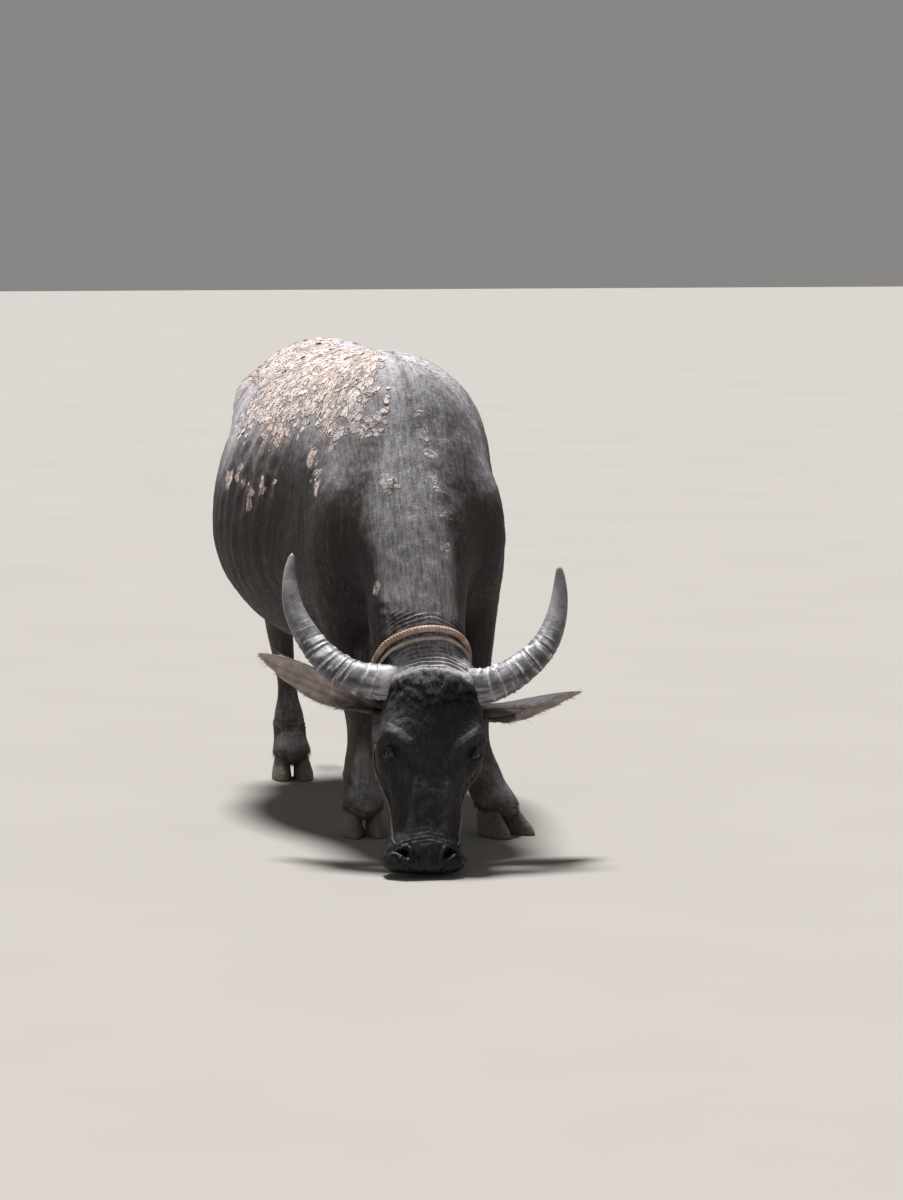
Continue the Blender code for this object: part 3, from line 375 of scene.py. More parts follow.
def closed_mesh(name, rings):
    """A lofted mesh whose two ends are closed at their middles."""
    points, quads = loft(rings)
    around = rings.shape[1]
    first, last = rings[0].mean(0), rings[-1].mean(0)
    points = np.vstack([points, first, last])
    a, b = len(points) - 2, len(points) - 1
    k = np.arange(around)
    n = (k + 1) % around
    start = np.stack([np.full(around, a), n, k, k], 1)
    base = (len(rings) - 1) * around
    end = np.stack([np.full(around, b), base + k, base + n, base + n], 1)
    mesh = bpy.data.meshes.new(name)
    faces = [tuple(q) for q in quads.tolist()] + [tuple(f[:3]) for f in start.tolist() + end.tolist()]
    mesh.from_pydata(points.tolist(), [], faces)
    work = bmesh.new()
    work.from_mesh(mesh)
    bmesh.ops.recalc_face_normals(work, faces=work.faces[:])
    work.to_mesh(mesh)
    work.free()
    return mesh


rough = bmesh.new()
for node in FLESH:
    work = merged_copy(node)
    if node == "tail":
        geometry = work.verts[:] + work.edges[:] + work.faces[:]
        cut = bmesh.ops.bisect_plane(work, geom=geometry, plane_co=(0, 0, DOCK_END), plane_no=(0, 0, -1),
                                     clear_outer=True)
        bmesh.ops.holes_fill(work, edges=[e for e in work.edges if e.is_boundary])
    for vert in work.verts:
        vert.co += vert.normal * PUFF
    loose = bpy.data.meshes.new(node)
    work.to_mesh(loose)
    rough.from_mesh(loose)
    work.free()
print("flesh solids", len(rough.faces), "faces")

# %% [markdown]
# ## What fills the sockets
# The solids have sockets for the eyes, horns and ears. Seen from close by, a real hide
# runs right up to the horn and lies tight on the eye. The sockets are therefore filled
# with simple bodies a little smaller than what sits there, before the skin is rebuilt.
# The end of the tail gets a slim core, because its hair is made later.

# %% Fill the sockets
HORN_LINES = {
    -1: [(-0.088, -0.056, -0.042), (-0.134, -0.056, -0.046), (-0.196, -0.044, -0.058), (-0.248, -0.014, -0.072),
         (-0.294, 0.028, -0.084), (-0.328, 0.072, -0.090), (-0.356, 0.116, -0.090), (-0.378, 0.166, -0.084),
         (-0.388, 0.230, -0.072), (-0.386, 0.292, -0.056)],
    1: [(0.088, -0.058, -0.042), (0.132, -0.052, -0.046), (0.181, -0.024, -0.058), (0.226, 0.017, -0.072),
        (0.265, 0.065, -0.084), (0.290, 0.115, -0.090), (0.304, 0.168, -0.090), (0.309, 0.220, -0.084),
        (0.308, 0.264, -0.074), (0.304, 0.298, -0.062)],
}
HORN_BREADTH, HORN_DEPTH = 0.049, 0.036
EAR_ENDS = {
    -1: (on_head(-0.094, 0.086, -0.140), on_head(-0.464, -0.070, -0.215)),
    1: (on_head(0.094, 0.076, -0.136), on_head(0.376, -0.020, -0.236)),
}


def smooth_line(rows, steps):
    """A smooth curve through rows of numbers, with steps points to a stretch."""
    rows = np.asarray(rows, float)
    ends = np.vstack([2 * rows[0] - rows[1], rows, 2 * rows[-1] - rows[-2]])
    found = []
    for i in range(1, len(ends) - 2):
        a, b, c, d = ends[i - 1:i + 3]
        for t in np.linspace(0, 1, steps, endpoint=False):
            found.append(0.5 * (2 * b + (c - a) * t + (2 * a - 5 * b + 4 * c - d) * t ** 2
                                + (3 * b - a - 3 * c + d) * t ** 3))
    return np.array(found + [rows[-1]])


def fill_ball(centre, radius):
    made = bmesh.ops.create_icosphere(rough, subdivisions=3, radius=radius)
    bmesh.ops.translate(rough, verts=made["verts"], vec=Vector(centre))


for side in (-1, 1):
    fill_ball(eye_at[side], EYE_RADIUS + 0.002)
    root = [on_head(a, -u, o) for a, u, o in smooth_line(HORN_LINES[side], 4)[:6]]
    rough.from_mesh(closed_mesh("horn_core", tube(root, [0.034] * len(root))))
    fill_ball(EAR_ENDS[side][0], 0.026)

low_tail, high_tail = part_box("tail")
dock = [WITHERS + np.array(p) for p in ((0.017, 1.316, 0.680), (0.019, 1.311, 0.640), (0.021, 1.307, 0.590),
                                        (0.022, 1.304, 0.540), (0.022, 1.303, 0.495), (0.022, 1.303, 0.470))]
rough.from_mesh(closed_mesh("dock", tube(dock, [0.0165, 0.0165, 0.015, 0.012, 0.008, 0.003], hint=(1, 0, 0))))
joined = bpy.data.meshes.new("rough_skin")
rough.to_mesh(joined)
rough.free()
print("with fillings", len(joined.polygons), "faces")

# %% Rebuild as one skin and relax it
SQUARE = 0.0066


def largest_part(mesh):
    """Drops every island but the largest, such as bubbles left in the hair-thin cuts."""
    work = bmesh.new()
    work.from_mesh(mesh)
    seen = set()
    parts = []
    for start in work.verts:
        if start in seen:
            continue
        island, front = [], [start]
        seen.add(start)
        while front:
            vert = front.pop()
            island.append(vert)
            for edge in vert.link_edges:
                other = edge.other_vert(vert)
                if other not in seen:
                    seen.add(other)
                    front.append(other)
        parts.append(island)
    parts.sort(key=len)
    for island in parts[:-1]:
        bmesh.ops.delete(work, geom=island, context="VERTS")
    work.to_mesh(mesh)
    work.free()
    return len(parts)


hide = piece("hide", joined)
remesh = hide.modifiers.new("rebuild", "REMESH")
remesh.mode = "VOXEL"
remesh.voxel_size = SQUARE
baked(hide)
islands = largest_part(hide.data)
points = read_points(hide.data)
edges = read_edges(hide.data)
face_view = head_view(points)
local = points - WITHERS
on_legs = 1 - ramp(local[:, 2], 0.42, 0.66)
on_skull = ramp(face_view[:, 1], -0.10, 0.02) * (local[:, 1] < -0.30) * (face_view[:, 2] > -0.34)
on_tail = ramp(local[:, 1], 1.262, 1.285)
slim = np.maximum.reduce([on_legs, on_skull * 0.9, on_tail])
points = relax(points, edges, 0.5, 6)
points = relax(points, edges, 0.55 * (1 - slim), 110)
forehead = (np.abs(face_view[:, 0]) < 0.115) & (face_view[:, 1] > -0.02) & (face_view[:, 1] < 0.175)
forehead &= face_view[:, 2] > -0.04
points = relax(points, edges, 0.6 * forehead, 60)
points = relax(points, edges, 0.35 * np.minimum(on_skull + on_legs * 0.6, 1), 10)
write_points(hide.data, points)
print("islands", islands, "points", len(points))

# %% [markdown]
# ## Broad forms of the body
# Under the hide lie shoulder blades, ribs, hip bones and the hollow before the hip. The
# big ones are in the solids. Here the softer ones are pushed out or in by fractions of a
# centimetre: ribs on the flank, skin folds on the throat and behind the elbow, the
# tendons of the lower legs, and wrinkles that cross the top of the neck.

# %% Sculpt the body
def move_along_normals(mesh, amount):
    points = read_points(mesh)
    normals = read_points(mesh, "normal")
    write_points(mesh, points + normals * amount[:, None])


def body_forms(points):
    p = points - WITHERS
    x, y, z = p.T
    side = np.abs(x)
    out = np.zeros(len(p))
    flank = ramp(side, 0.16, 0.26) * ramp(z, 0.55, 0.68) * (1 - ramp(z, 1.02, 1.14))
    flank *= ramp(y, 0.12, 0.26) * (1 - ramp(y, 0.66, 0.80))
    slant = y + 0.16 * (z - 0.8)
    out += 0.0020 * flank * np.cos(2 * math.pi * slant / 0.070) * (0.8 + 0.5 * grain(points, 0.12, 5, 2))
    spine = np.exp(-(x / 0.018) ** 2) * ramp(z, 1.18, 1.24) * ramp(y, 0.06, 0.2)
    out += 0.0028 * spine * (0.6 + 0.4 * np.cos(2 * math.pi * y / 0.058))
    groin = bump(p * (1, 1, 1), (0.24, 0.83, 0.66), 0.10) + bump(p, (-0.24, 0.83, 0.66), 0.10)
    out -= 0.004 * groin
    for sign in (-1, 1):
        for k in range(4):
            centre = (sign * (0.215 + 0.012 * k), 0.045 + 0.022 * k, 0.63 + 0.035 * k)
            out += 0.004 * bump(p, centre, 0.026) - 0.004 * bump(p, (centre[0], centre[1] + 0.016, centre[2]), 0.020)
    throat = ramp(-y, 0.12, 0.24) * (1 - ramp(z, 0.80, 0.98)) * ramp(z, 0.40, 0.50) * (1 - ramp(side, 0.12, 0.20))
    throat *= 1 - ramp(z - np.interp(y, (-0.50, -0.30, -0.12), (0.40, 0.62, 0.80)), -0.06, 0.0)
    out += 0.0035 * throat * np.sin(2 * math.pi * (x + 0.02 * np.sin(z * 22)) / 0.034)
    for leg in ("front_right", "front_left", "hind_right", "hind_left"):
        foot = np.mean([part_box(f"claw_{leg}_right"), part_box(f"claw_{leg}_left")], axis=(0, 1)) - WITHERS
        out += 0.034 * bump(p, (foot[0], foot[1] - 0.012, 0.072), 0.018)
    low = (1 - ramp(z, 0.36, 0.46)) * (z > 0.08)
    out += 0.0012 * low * grain(points * (2.2, 2.2, 0.5), 0.05, 4, 2) * 1.2
    out += 0.038 * bump(p, (0.225, 0.20, 1.12), 0.19) + 0.020 * bump(p, (-0.25, 0.90, 1.13), 0.075)
    out += 0.0020 * np.exp(-((z - 0.080) / 0.020) ** 2) * (z < 0.2)
    fetlock = np.exp(-((z - 0.150) / 0.020) ** 2) * (y > -0.6)
    out += 0.0016 * fetlock * np.cos(2 * math.pi * z / 0.012) * low
    return out


amount = body_forms(read_points(hide.data))
amount += 0.0016 * grain(read_points(hide.data), 0.055, 1, 3) * (1 - 0.6 * slim)
move_along_normals(hide.data, amount)
print("body forms up to", round(float(np.abs(amount).max()) * 1000, 1), "mm")

# %% Thin the barrel and legs, keep the head
BODY_GOAL = 84000


def head_part(points):
    view = head_view(points)
    return ((view[:, 1] > -0.150) & (view[:, 2] > -0.36) & ((points - WITHERS)[:, 1] < -0.36)
            & (np.abs(view[:, 0]) < 0.24))


keep = head_part(read_points(hide.data))
coarse = hide.vertex_groups.new(name="coarse")
coarse.add(np.nonzero(~keep)[0].tolist(), 1.0, "REPLACE")
coarse.add(np.nonzero(keep)[0].tolist(), 0.0, "REPLACE")
before = triangles(hide)
thin = hide.modifiers.new("thin", "DECIMATE")
thin.ratio = BODY_GOAL / before
thin.vertex_group = "coarse"
baked(hide)
hide.vertex_groups.clear()
print("triangles", before, "to", triangles(hide), "of which the head has", int(keep.sum()) * 2)

# %% [markdown]
# ## A finer skin where it matters
# The head needs far smaller squares than the barrel. Splitting only the faces of the
# head, and again round the eyes, nostrils and lips, gives detail there and keeps the
# whole hide under two hundred thousand triangles.

# %% Split the faces of the head
NOSTRIL_OUT, NOSTRIL_DOWN, MOUTH_DOWN = 0.055, 0.510, 0.435
NOSTRIL_AT = {side: on_head(side * NOSTRIL_OUT, NOSTRIL_DOWN, -0.028) for side in (-1, 1)}


def split_where(mesh, chosen):
    work = bmesh.new()
    work.from_mesh(mesh)
    work.verts.ensure_lookup_table()
    faces = [f for f in work.faces if all(chosen[v.index] for v in f.verts)]
    lines = {e for f in faces for e in f.edges}
    bmesh.ops.subdivide_edges(work, edges=list(lines), cuts=1, use_grid_fill=True, smooth=0.0)
    work.to_mesh(mesh)
    work.free()


def near(points, centre, reach):
    return np.linalg.norm(points - centre, axis=1) < reach


points = read_points(hide.data)
view = head_view(points)
split_where(hide.data, head_part(points) & (view[:, 2] > -0.235) & (view[:, 1] > -0.135))
points = read_points(hide.data)
view = head_view(points)
lips = (view[:, 1] > 0.455) & (np.abs(view[:, 0]) < 0.14)
mouth = (view[:, 1] > 0.40) & (np.abs(view[:, 2] + 0.10) < 0.035)
round_eyes = near(points, eye_at[-1], 0.052) | near(points, eye_at[1], 0.052)
split_where(hide.data, lips | mouth | round_eyes)
points = read_points(hide.data)
split_where(hide.data, near(points, eye_at[-1], 0.034) | near(points, eye_at[1], 0.034))
points = relax(read_points(hide.data), read_edges(hide.data),
               0.5 * (head_view(read_points(hide.data))[:, 1] > -0.14), 3)
write_points(hide.data, points)
print("after splitting", len(points), "points and", triangles(hide), "triangles")

# %% [markdown]
# ## The face
# A buffalo's eye sits on the side of the forehead under a heavy brow, between two thick
# lids. Each lid is drawn on a ball a little larger than the eyeball: near the eye the
# skin is pulled onto that ball, and inside an almond shape it dips behind the eyeball.
# Nostrils and the mouth are shaped the same way, by distances measured on the head.

# %% Sculpt lids, nostrils, lips and wrinkles
def directions_at(down, outward, along):
    """Three square directions from two given in the face's own axes."""
    axes = face_axes(down)
    outward = axes @ np.array(outward)
    outward /= np.linalg.norm(outward)
    along = axes @ np.array(along)
    along -= outward * (along @ outward)
    along /= np.linalg.norm(along)
    return outward, along, np.cross(outward, along)


def eye_directions(side):
    """Out of the eye, from its outer to its inner corner, and across the lids."""
    return directions_at(EYE_DOWN, (side * 0.78, 0.06, 0.62), (side * -0.70, 0.62, 0.40))


def shape_lids(points, side):
    outward, along, across = eye_directions(side)
    upper = 1.0 if across @ (AXES @ np.array((0, -1, 0.4))) > 0 else -1.0
    away = points - eye_at[side]
    distance = np.linalg.norm(away, axis=1)
    line = away / np.maximum(distance, 1e-6)[:, None]
    facing = line @ outward
    a = np.arctan2(line @ along, facing)
    b = np.arctan2(line @ across, facing) * upper
    reach = np.arccos(np.clip(facing, -1, 1))
    lid = (1 - ramp(reach, 1.02, 1.50)) * (distance < 0.052)
    middle = -0.04 - 0.10 * (a / 0.9) ** 2
    half = np.where(b > middle, 0.52, 0.42)
    almond = np.sqrt(np.clip(np.abs(a / 1.04), 0, 9) ** 2.2 + np.abs((b - middle) / half) ** 1.7)
    fold = 0.0016 * np.exp(-((almond - 1.28) / 0.13) ** 2) - 0.0022 * np.exp(-((almond - 1.70) / 0.15) ** 2)
    fold += 0.0020 * np.exp(-((almond - 2.10) / 0.18) ** 2) - 0.0015 * np.exp(-((almond - 2.55) / 0.2) ** 2)
    fold *= np.where(b > middle, 1.3, 0.8)
    inside = EYE_RADIUS - 0.0030
    outside = EYE_RADIUS + 0.0046 + fold
    rim = ramp(almond, 0.93, 1.07)
    target = inside * (1 - rim) + outside * rim
    moved = distance + (target - distance) * lid
    return eye_at[side] + line * moved[:, None]


def shape_nostril(points, side):
    outward, along, across = directions_at(NOSTRIL_DOWN, (side * 0.42, 0.36, 0.83), (side * 0.80, -0.42, -0.20))
    away = points - NOSTRIL_AT[side]
    x, y, h = away @ along, away @ across, away @ outward
    bend = y * -side - 0.40 * x * x / 0.020
    half = 0.0100 - 0.0048 * ramp(x, -0.004, 0.020)
    ring = np.sqrt((x / 0.0200) ** 2 + (bend / half) ** 2)
    close = (np.abs(h) < 0.03) & (ring < 3.4)
    wing = 1.0 + 0.6 * ramp(bend, 0.0, 0.01)
    push = -0.024 * (1 - ramp(ring, 0.45, 1.10)) + 0.0026 * wing * np.exp(-((ring - 1.55) / 0.38) ** 2)
    push -= 0.0014 * np.exp(-((ring - 2.35) / 0.30) ** 2)
    return points + outward * (push * close)[:, None]


def face_forms(points):
    view = head_view(points)
    a, d, o = view.T
    side = np.abs(a)
    head = (d > -0.15) & (o > -0.36) & ((points - WITHERS)[:, 1] < -0.34)
    out = np.zeros(len(points))
    # Wrinkles that cross the top of the neck behind the horns, bowed down at the sides.
    arc = d - 3.0 * a * a + 0.0040 * grain(points, 0.080, 8, 3)
    poll = ramp(-d, -0.040, -0.022) * (1 - ramp(-d, 0.105, 0.130)) * (1 - ramp(side, 0.10, 0.14))
    poll *= ramp(o, -0.15, -0.07)
    wave = np.sin(2 * math.pi * arc / 0.0120) * (0.80 + 0.7 * grain(points, 0.07, 9, 2))
    out += poll * 0.0024 * wave
    # A heavy brow that slants down to the inner corner of each eye, with folds below it.
    for drop, size, wide in ((-0.036, 0.0085, 0.0120), (-0.020, -0.0035, 0.0060), (-0.055, 0.0024, 0.0065),
                             (-0.062, -0.0014, 0.0045)):
        line = (d - EYE_DOWN - drop) * 0.75 - (EYE_OUT - side) * 0.62
        reach = np.exp(-((side - 0.082) / 0.038) ** 2) * (o > -0.07)
        out += size * np.exp(-(line / wide) ** 2) * reach
    for k in range(3):
        line = (d - EYE_DOWN - 0.036 - 0.010 * k) * 0.85 - (EYE_OUT - side) * 0.45
        out += (0.0022 - 0.0005 * k) * np.exp(-(line / 0.0038) ** 2) * np.exp(-((side - 0.104) / 0.022) ** 2)
        out -= 0.0014 * np.exp(-((line + 0.005) / 0.0032) ** 2) * np.exp(-((side - 0.104) / 0.022) ** 2)
    # The flat bridge of the nose between two bony edges, and the crest along the cheek.
    bridge = ramp(d, 0.29, 0.35) * (1 - ramp(d, 0.44, 0.485)) * (o > -0.08)
    out += 0.0060 * np.exp(-((side - 0.042) / 0.010) ** 2) * bridge
    out -= 0.0065 * np.exp(-((side - 0.068) / 0.014) ** 2) * bridge
    out -= 0.0026 * np.exp(-(a / 0.022) ** 2) * bridge
    cheek = o + 0.078 + 0.26 * (d - 0.30)
    out += 0.0040 * np.exp(-(cheek / 0.010) ** 2) * ramp(d, 0.27, 0.31) * (1 - ramp(d, 0.38, 0.43))
    out -= 0.0030 * np.exp(-((cheek - 0.022) / 0.010) ** 2) * ramp(d, 0.29, 0.33) * (1 - ramp(d, 0.38, 0.43))
    # Mouth, lips and the creases across the nose above the muzzle.
    gap_d, gap_o = d - MOUTH_DOWN, o + 0.112
    turn = np.arctan2(a, gap_d)
    corner = np.clip(np.abs(turn) / (math.pi / 2), 0, 1)
    gap = gap_o - 0.20 * (1 - corner) * np.hypot(a, gap_d)
    lip = (np.abs(turn) < 1.52) * (d > 0.40) * (np.abs(gap) < 0.05)
    out -= 0.0068 * lip * np.exp(-(gap / 0.0026) ** 2)
    out += 0.0026 * lip * np.exp(-((np.abs(gap) - 0.0085) / 0.0055) ** 2)
    out -= 0.0026 * np.exp(-(a / 0.0045) ** 2) * ramp(d, 0.495, 0.515) * (o > -0.10)
    for k, drop in enumerate((0.452, 0.463, 0.474, 0.484)):
        line = d - drop - 0.20 * side + 0.002 * grain(points, 0.02, 6, 2)
        out += (0.0006 + 0.0002 * k) * np.exp(-(line / 0.0036) ** 2) * (1 - ramp(side, 0.055, 0.085)) * (o > -0.06)
    # Folds of the throat and jaw, and small unevenness everywhere.
    for k in range(5):
        line = o + 0.235 - 0.018 * k - 0.25 * (d - 0.10)
        out += 0.0022 * np.exp(-(line / 0.0045) ** 2) * ramp(d, -0.08, -0.01) * (1 - ramp(d, 0.12, 0.2)) * (side > 0.06)
    out += 0.0008 * grain(points, 0.012, 3, 2) + 0.0016 * grain(points, 0.045, 7, 2)
    return out * head


move_along_normals(hide.data, face_forms(read_points(hide.data)))
points = read_points(hide.data)
for side in (-1, 1):
    points = shape_lids(points, side)
    points = shape_nostril(points, side)
close = np.zeros(len(points), bool)
for side in (-1, 1):
    close |= near(points, eye_at[side], 0.05) | near(points, NOSTRIL_AT[side], 0.035)
points = relax(points, read_edges(hide.data), 0.18 * close, 2)
write_points(hide.data, points)
SKIN_GOAL = 191000
before = triangles(hide)
thin = hide.modifiers.new("thin", "DECIMATE")
thin.ratio = min(1.0, SKIN_GOAL / before)
thin.use_collapse_triangulate = True
baked(hide)
hide.data.polygons.foreach_set("use_smooth", np.ones(len(hide.data.polygons), bool))
print("triangles", before, "to", triangles(hide))
print("face shaped on", int(close.sum()), "points")

# %% [markdown]
# ## Markings
# Mud, dust, the pale stockings and the near-black forehead lie on the skin and on every
# hair that grows there. Painted light and shade go with them: paler upper faces and a lit
# band along the top of the neck, shade under the body, a shadow in each eye socket, and
# highlights on the brows and the bridge of the nose. They are worked out once as numbers
# on points, from where a point is and which way it faces, so that hide, ears and coat all
# carry the same marks.

# %% Work out the markings
# Clots of mud beside the neck's crest, on the shoulder and down the flank: x, y, z, size.
MUD_CLOTS = [(0.013, -0.217, 1.117, 0.016), (0.020, -0.241, 1.074, 0.014), (0.029, -0.273, 1.024, 0.017),
             (0.035, -0.295, 0.987, 0.013), (0.040, -0.320, 0.942, 0.016), (0.045, -0.354, 0.875, 0.015),
             (0.046, -0.386, 0.800, 0.012), (-0.096, -0.303, 0.948, 0.030), (-0.137, -0.381, 0.695, 0.013),
             (-0.226, -0.094, 0.977, 0.024), (-0.235, -0.028, 1.012, 0.026), (-0.200, -0.098, 1.042, 0.022),
             (-0.238, -0.114, 0.939, 0.018), (-0.352, 0.446, 0.941, 0.024), (-0.368, 0.516, 0.909, 0.022),
             (-0.316, 0.273, 0.926, 0.022), (-0.341, 0.321, 0.868, 0.018), (0.030, 0.020, 1.272, 0.020),
             (0.016, -0.060, 1.258, 0.014), (0.060, 0.300, 1.262, 0.030)]
# The crust's lower edge on the right side, as heights at distances behind the withers.
CRUST_AT = (-0.20, -0.10, 0.05, 0.30, 0.60, 0.95, 1.15)
CRUST_EDGE = (1.085, 1.045, 1.085, 1.030, 1.050, 1.090, 1.160)


def markings(points, normals):
    """Mud, crust, dusting with painted sunlight, pale, dark with painted eye shadow and highlights, neck, snout, and
    painted shade under the body, each from 0 to 1 for each point.
    """
    p = points - WITHERS
    x, y, z = p.T
    view = head_view(points)
    up = normals[:, 2]
    broad = grain(points, 0.16, 11, 4)
    fine = grain(points, 0.030, 12, 3)
    patchy = grain(points, 0.065, 14, 3)
    streak = grain(points * (1, 1, 0.16), 0.022, 13, 3)
    edge = np.interp(y, CRUST_AT, CRUST_EDGE) + 0.035 * broad + 0.022 * fine
    right = ramp(-x, np.interp(y, (-0.2, 0.3), (0.045, -0.02)), np.interp(y, (-0.2, 0.3), (0.070, 0.05)))
    crust = ramp(z - edge, -0.025, 0.030) * right * ramp(y + 0.02 * fine, -0.225, -0.190)
    crust *= 1 - ramp(y, 0.98, 1.14)
    crust *= 1 - 0.75 * bump(p, (-0.092, -0.157, 1.157), 0.036)
    crust *= 1 - 0.65 * ramp(-patchy, 0.05, 0.40)
    crust *= 1 - 0.40 * ramp(-x, 0.19, 0.29)
    crust *= 1 - 0.85 * ramp(-x, 0.20, 0.27) * ramp(y, 0.55, 0.80)
    left_crumbs = ramp(up, 0.6, 0.9) * ramp(patchy, 0.15, 0.5) * ramp(y, 0.2, 0.4) * (1 - ramp(x, 0.10, 0.22)) * 0.8
    drip = ramp(z, 0.78, 0.98) * (z < 1.12) * ramp(-x, 0.16, 0.26) * ramp(y, 0.05, 0.2) * (1 - ramp(y, 1.1, 1.2))
    mud = np.maximum.reduce([crust, left_crumbs * (x > -0.05), drip * ramp(streak + 0.3 * fine, 0.42, 0.75) * 0.8])
    for cx, cy, cz, size in MUD_CLOTS:
        stretch = (1.0, 0.8, 0.55) if size < 0.02 else (1.0, 0.8, 0.8)
        clot = bump(p * stretch, np.multiply((cx, cy, cz), stretch), size)
        texture = 0.75 + 1.5 * streak if cx < -0.19 else 0.85 + 1.1 * fine
        mud = np.maximum(mud, ramp(clot * texture, 0.25, 0.60))
    behind = ramp(view[:, 1] - 3.0 * view[:, 0] ** 2, 0.030, 0.052)
    head = behind * (y < -0.30) * (view[:, 2] > -0.34)
    mud = np.clip(mud * (1 - head), 0, 1)
    # A painted sunlit band along the top of the neck, where it faces up and forward; it also keeps the painted shade
    # off.
    middle = np.interp(z, (0.56, 0.66, 0.80, 0.91, 1.04), (-0.040, -0.050, -0.055, -0.048, -0.033))
    half = np.interp(z, (0.50, 0.66, 0.80, 0.91, 1.04, 1.16), (0.095, 0.115, 0.115, 0.095, 0.056, 0.040))
    facing_up = ramp(normals @ np.array((0, -0.55, 0.83)), 0.25, 0.75)
    painted_sunlit_band = ramp(half - np.abs(x - middle), -0.020, 0.018) * facing_up * (1 - head)
    neck = (1 - ramp(y, -0.16, 0.02)) * (1 - head) * ramp(z, 0.45, 0.60) * (1 - ramp(np.abs(x), 0.17, 0.24))
    # Upward faces are paler: dust that settles there, and painted sunlight from above as well.
    dust_and_painted_light = ramp(up, 0.10, 0.80) * (0.78 + 0.25 * broad + 0.12 * fine) * (1 - 0.30 * neck)
    dust_and_painted_light = np.maximum(dust_and_painted_light, painted_sunlit_band * (y < -0.05) * (0.58 + 0.08 * fine + 0.12 * broad + 0.12 * streak))
    # Pale patches on the shoulder and the hip: dust and painted sunlight together.
    shoulder = bump(p, (0.10, 0.02, 1.20), 0.15) + 0.8 * bump(p, (0.20, 0.30, 1.16), 0.16)
    dust_and_painted_light = np.maximum(dust_and_painted_light, np.clip(shoulder, 0, 1) * (1.05 + 0.12 * fine) * (x > 0.01))
    hip = bump(p, (-0.285, 0.90, 1.12), 0.13) + bump(p, (-0.31, 0.62, 1.02), 0.12) * 0.7
    dust_and_painted_light = np.maximum(dust_and_painted_light, np.clip(1.2 * hip, 0, 1) * (0.95 + 0.2 * fine))
    ridge = np.exp(-((x + 0.006) / 0.010) ** 2) * ramp(y, -0.28, -0.20) * (1 - ramp(y, 0.0, 0.2))
    dust_and_painted_light *= 1 - 0.7 * ridge
    flank = (1 - ramp(up, -0.2, 0.35)) * ramp(streak, 0.0, 0.6) * 0.14 * (1 - neck)
    dust_and_painted_light = np.clip(np.maximum(dust_and_painted_light, flank) * (1 - 0.95 * head), 0, 1)
    pale = (1 - ramp(z, 0.10, 0.34)) * (1 - head) * (0.60 + 0.35 * fine + 0.2 * broad)
    pale *= 1 - 0.85 * ramp(z, 0.095, 0.115) * (1 - ramp(z, 0.140, 0.165))
    pale = np.clip(pale, 0, 1)
    side = np.abs(view[:, 0])
    mane = ramp(view[:, 1], 0.05, 0.07) * (1 - ramp(view[:, 1], 0.15, 0.24)) * (1 - ramp(side, 0.095, 0.14))
    dark = head * (0.62 + 0.38 * mane * (view[:, 2] > -0.07) + 0.10 * fine)
    # Painted shadow of the brow over each eye socket: a slanted dark band that joins the dark marking.
    socket = np.maximum(bump(points, eye_at[-1], 0.048), bump(points, eye_at[1], 0.048))
    slanted = (view[:, 1] - EYE_DOWN - 0.008) * 0.75 - (EYE_OUT - side) * 0.62
    socket = np.maximum(socket, np.exp(-(slanted / 0.013) ** 2) * np.exp(-((side - 0.078) / 0.030) ** 2))
    # Painted highlights: a pale band on the brow roll and pale lines on the bony edges of the nose bridge, taken off
    # the dark marking.
    painted_brow_highlight = np.exp(-((slanted + 0.034) / 0.012) ** 2) * np.exp(-((side - 0.080) / 0.032) ** 2) * head
    snout = ramp(view[:, 1], 0.475, 0.505) * head
    bridge = np.exp(-((side - 0.042) / 0.010) ** 2) * ramp(view[:, 1], 0.28, 0.34) * head
    bridge *= 1 - ramp(view[:, 1], 0.45, 0.49)
    dark = np.maximum.reduce([dark, head * socket * 1.4, snout])
    dark -= (0.50 * bridge + 0.34 * painted_brow_highlight) * (0.7 + 0.8 * fine)
    shade = ramp(-up, -0.55, 0.15) * (1 - head) * ramp(z, 0.35, 0.6)
    found = {"mud": mud, "dust_and_painted_light": dust_and_painted_light, "pale": pale, "dark": np.clip(dark, 0, 1), "neck": neck, "snout": snout,
             "shade": np.clip(shade * (1 - painted_sunlit_band), 0, 1)}
    return found


def mark(mesh):
    found = markings(read_points(mesh), read_points(mesh, "normal"))
    for name, values in found.items():
        give(mesh, name, values)
    return found


hide_marks = mark(hide.data)
print({name: round(float(values.mean()), 3) for name, values in hide_marks.items()})
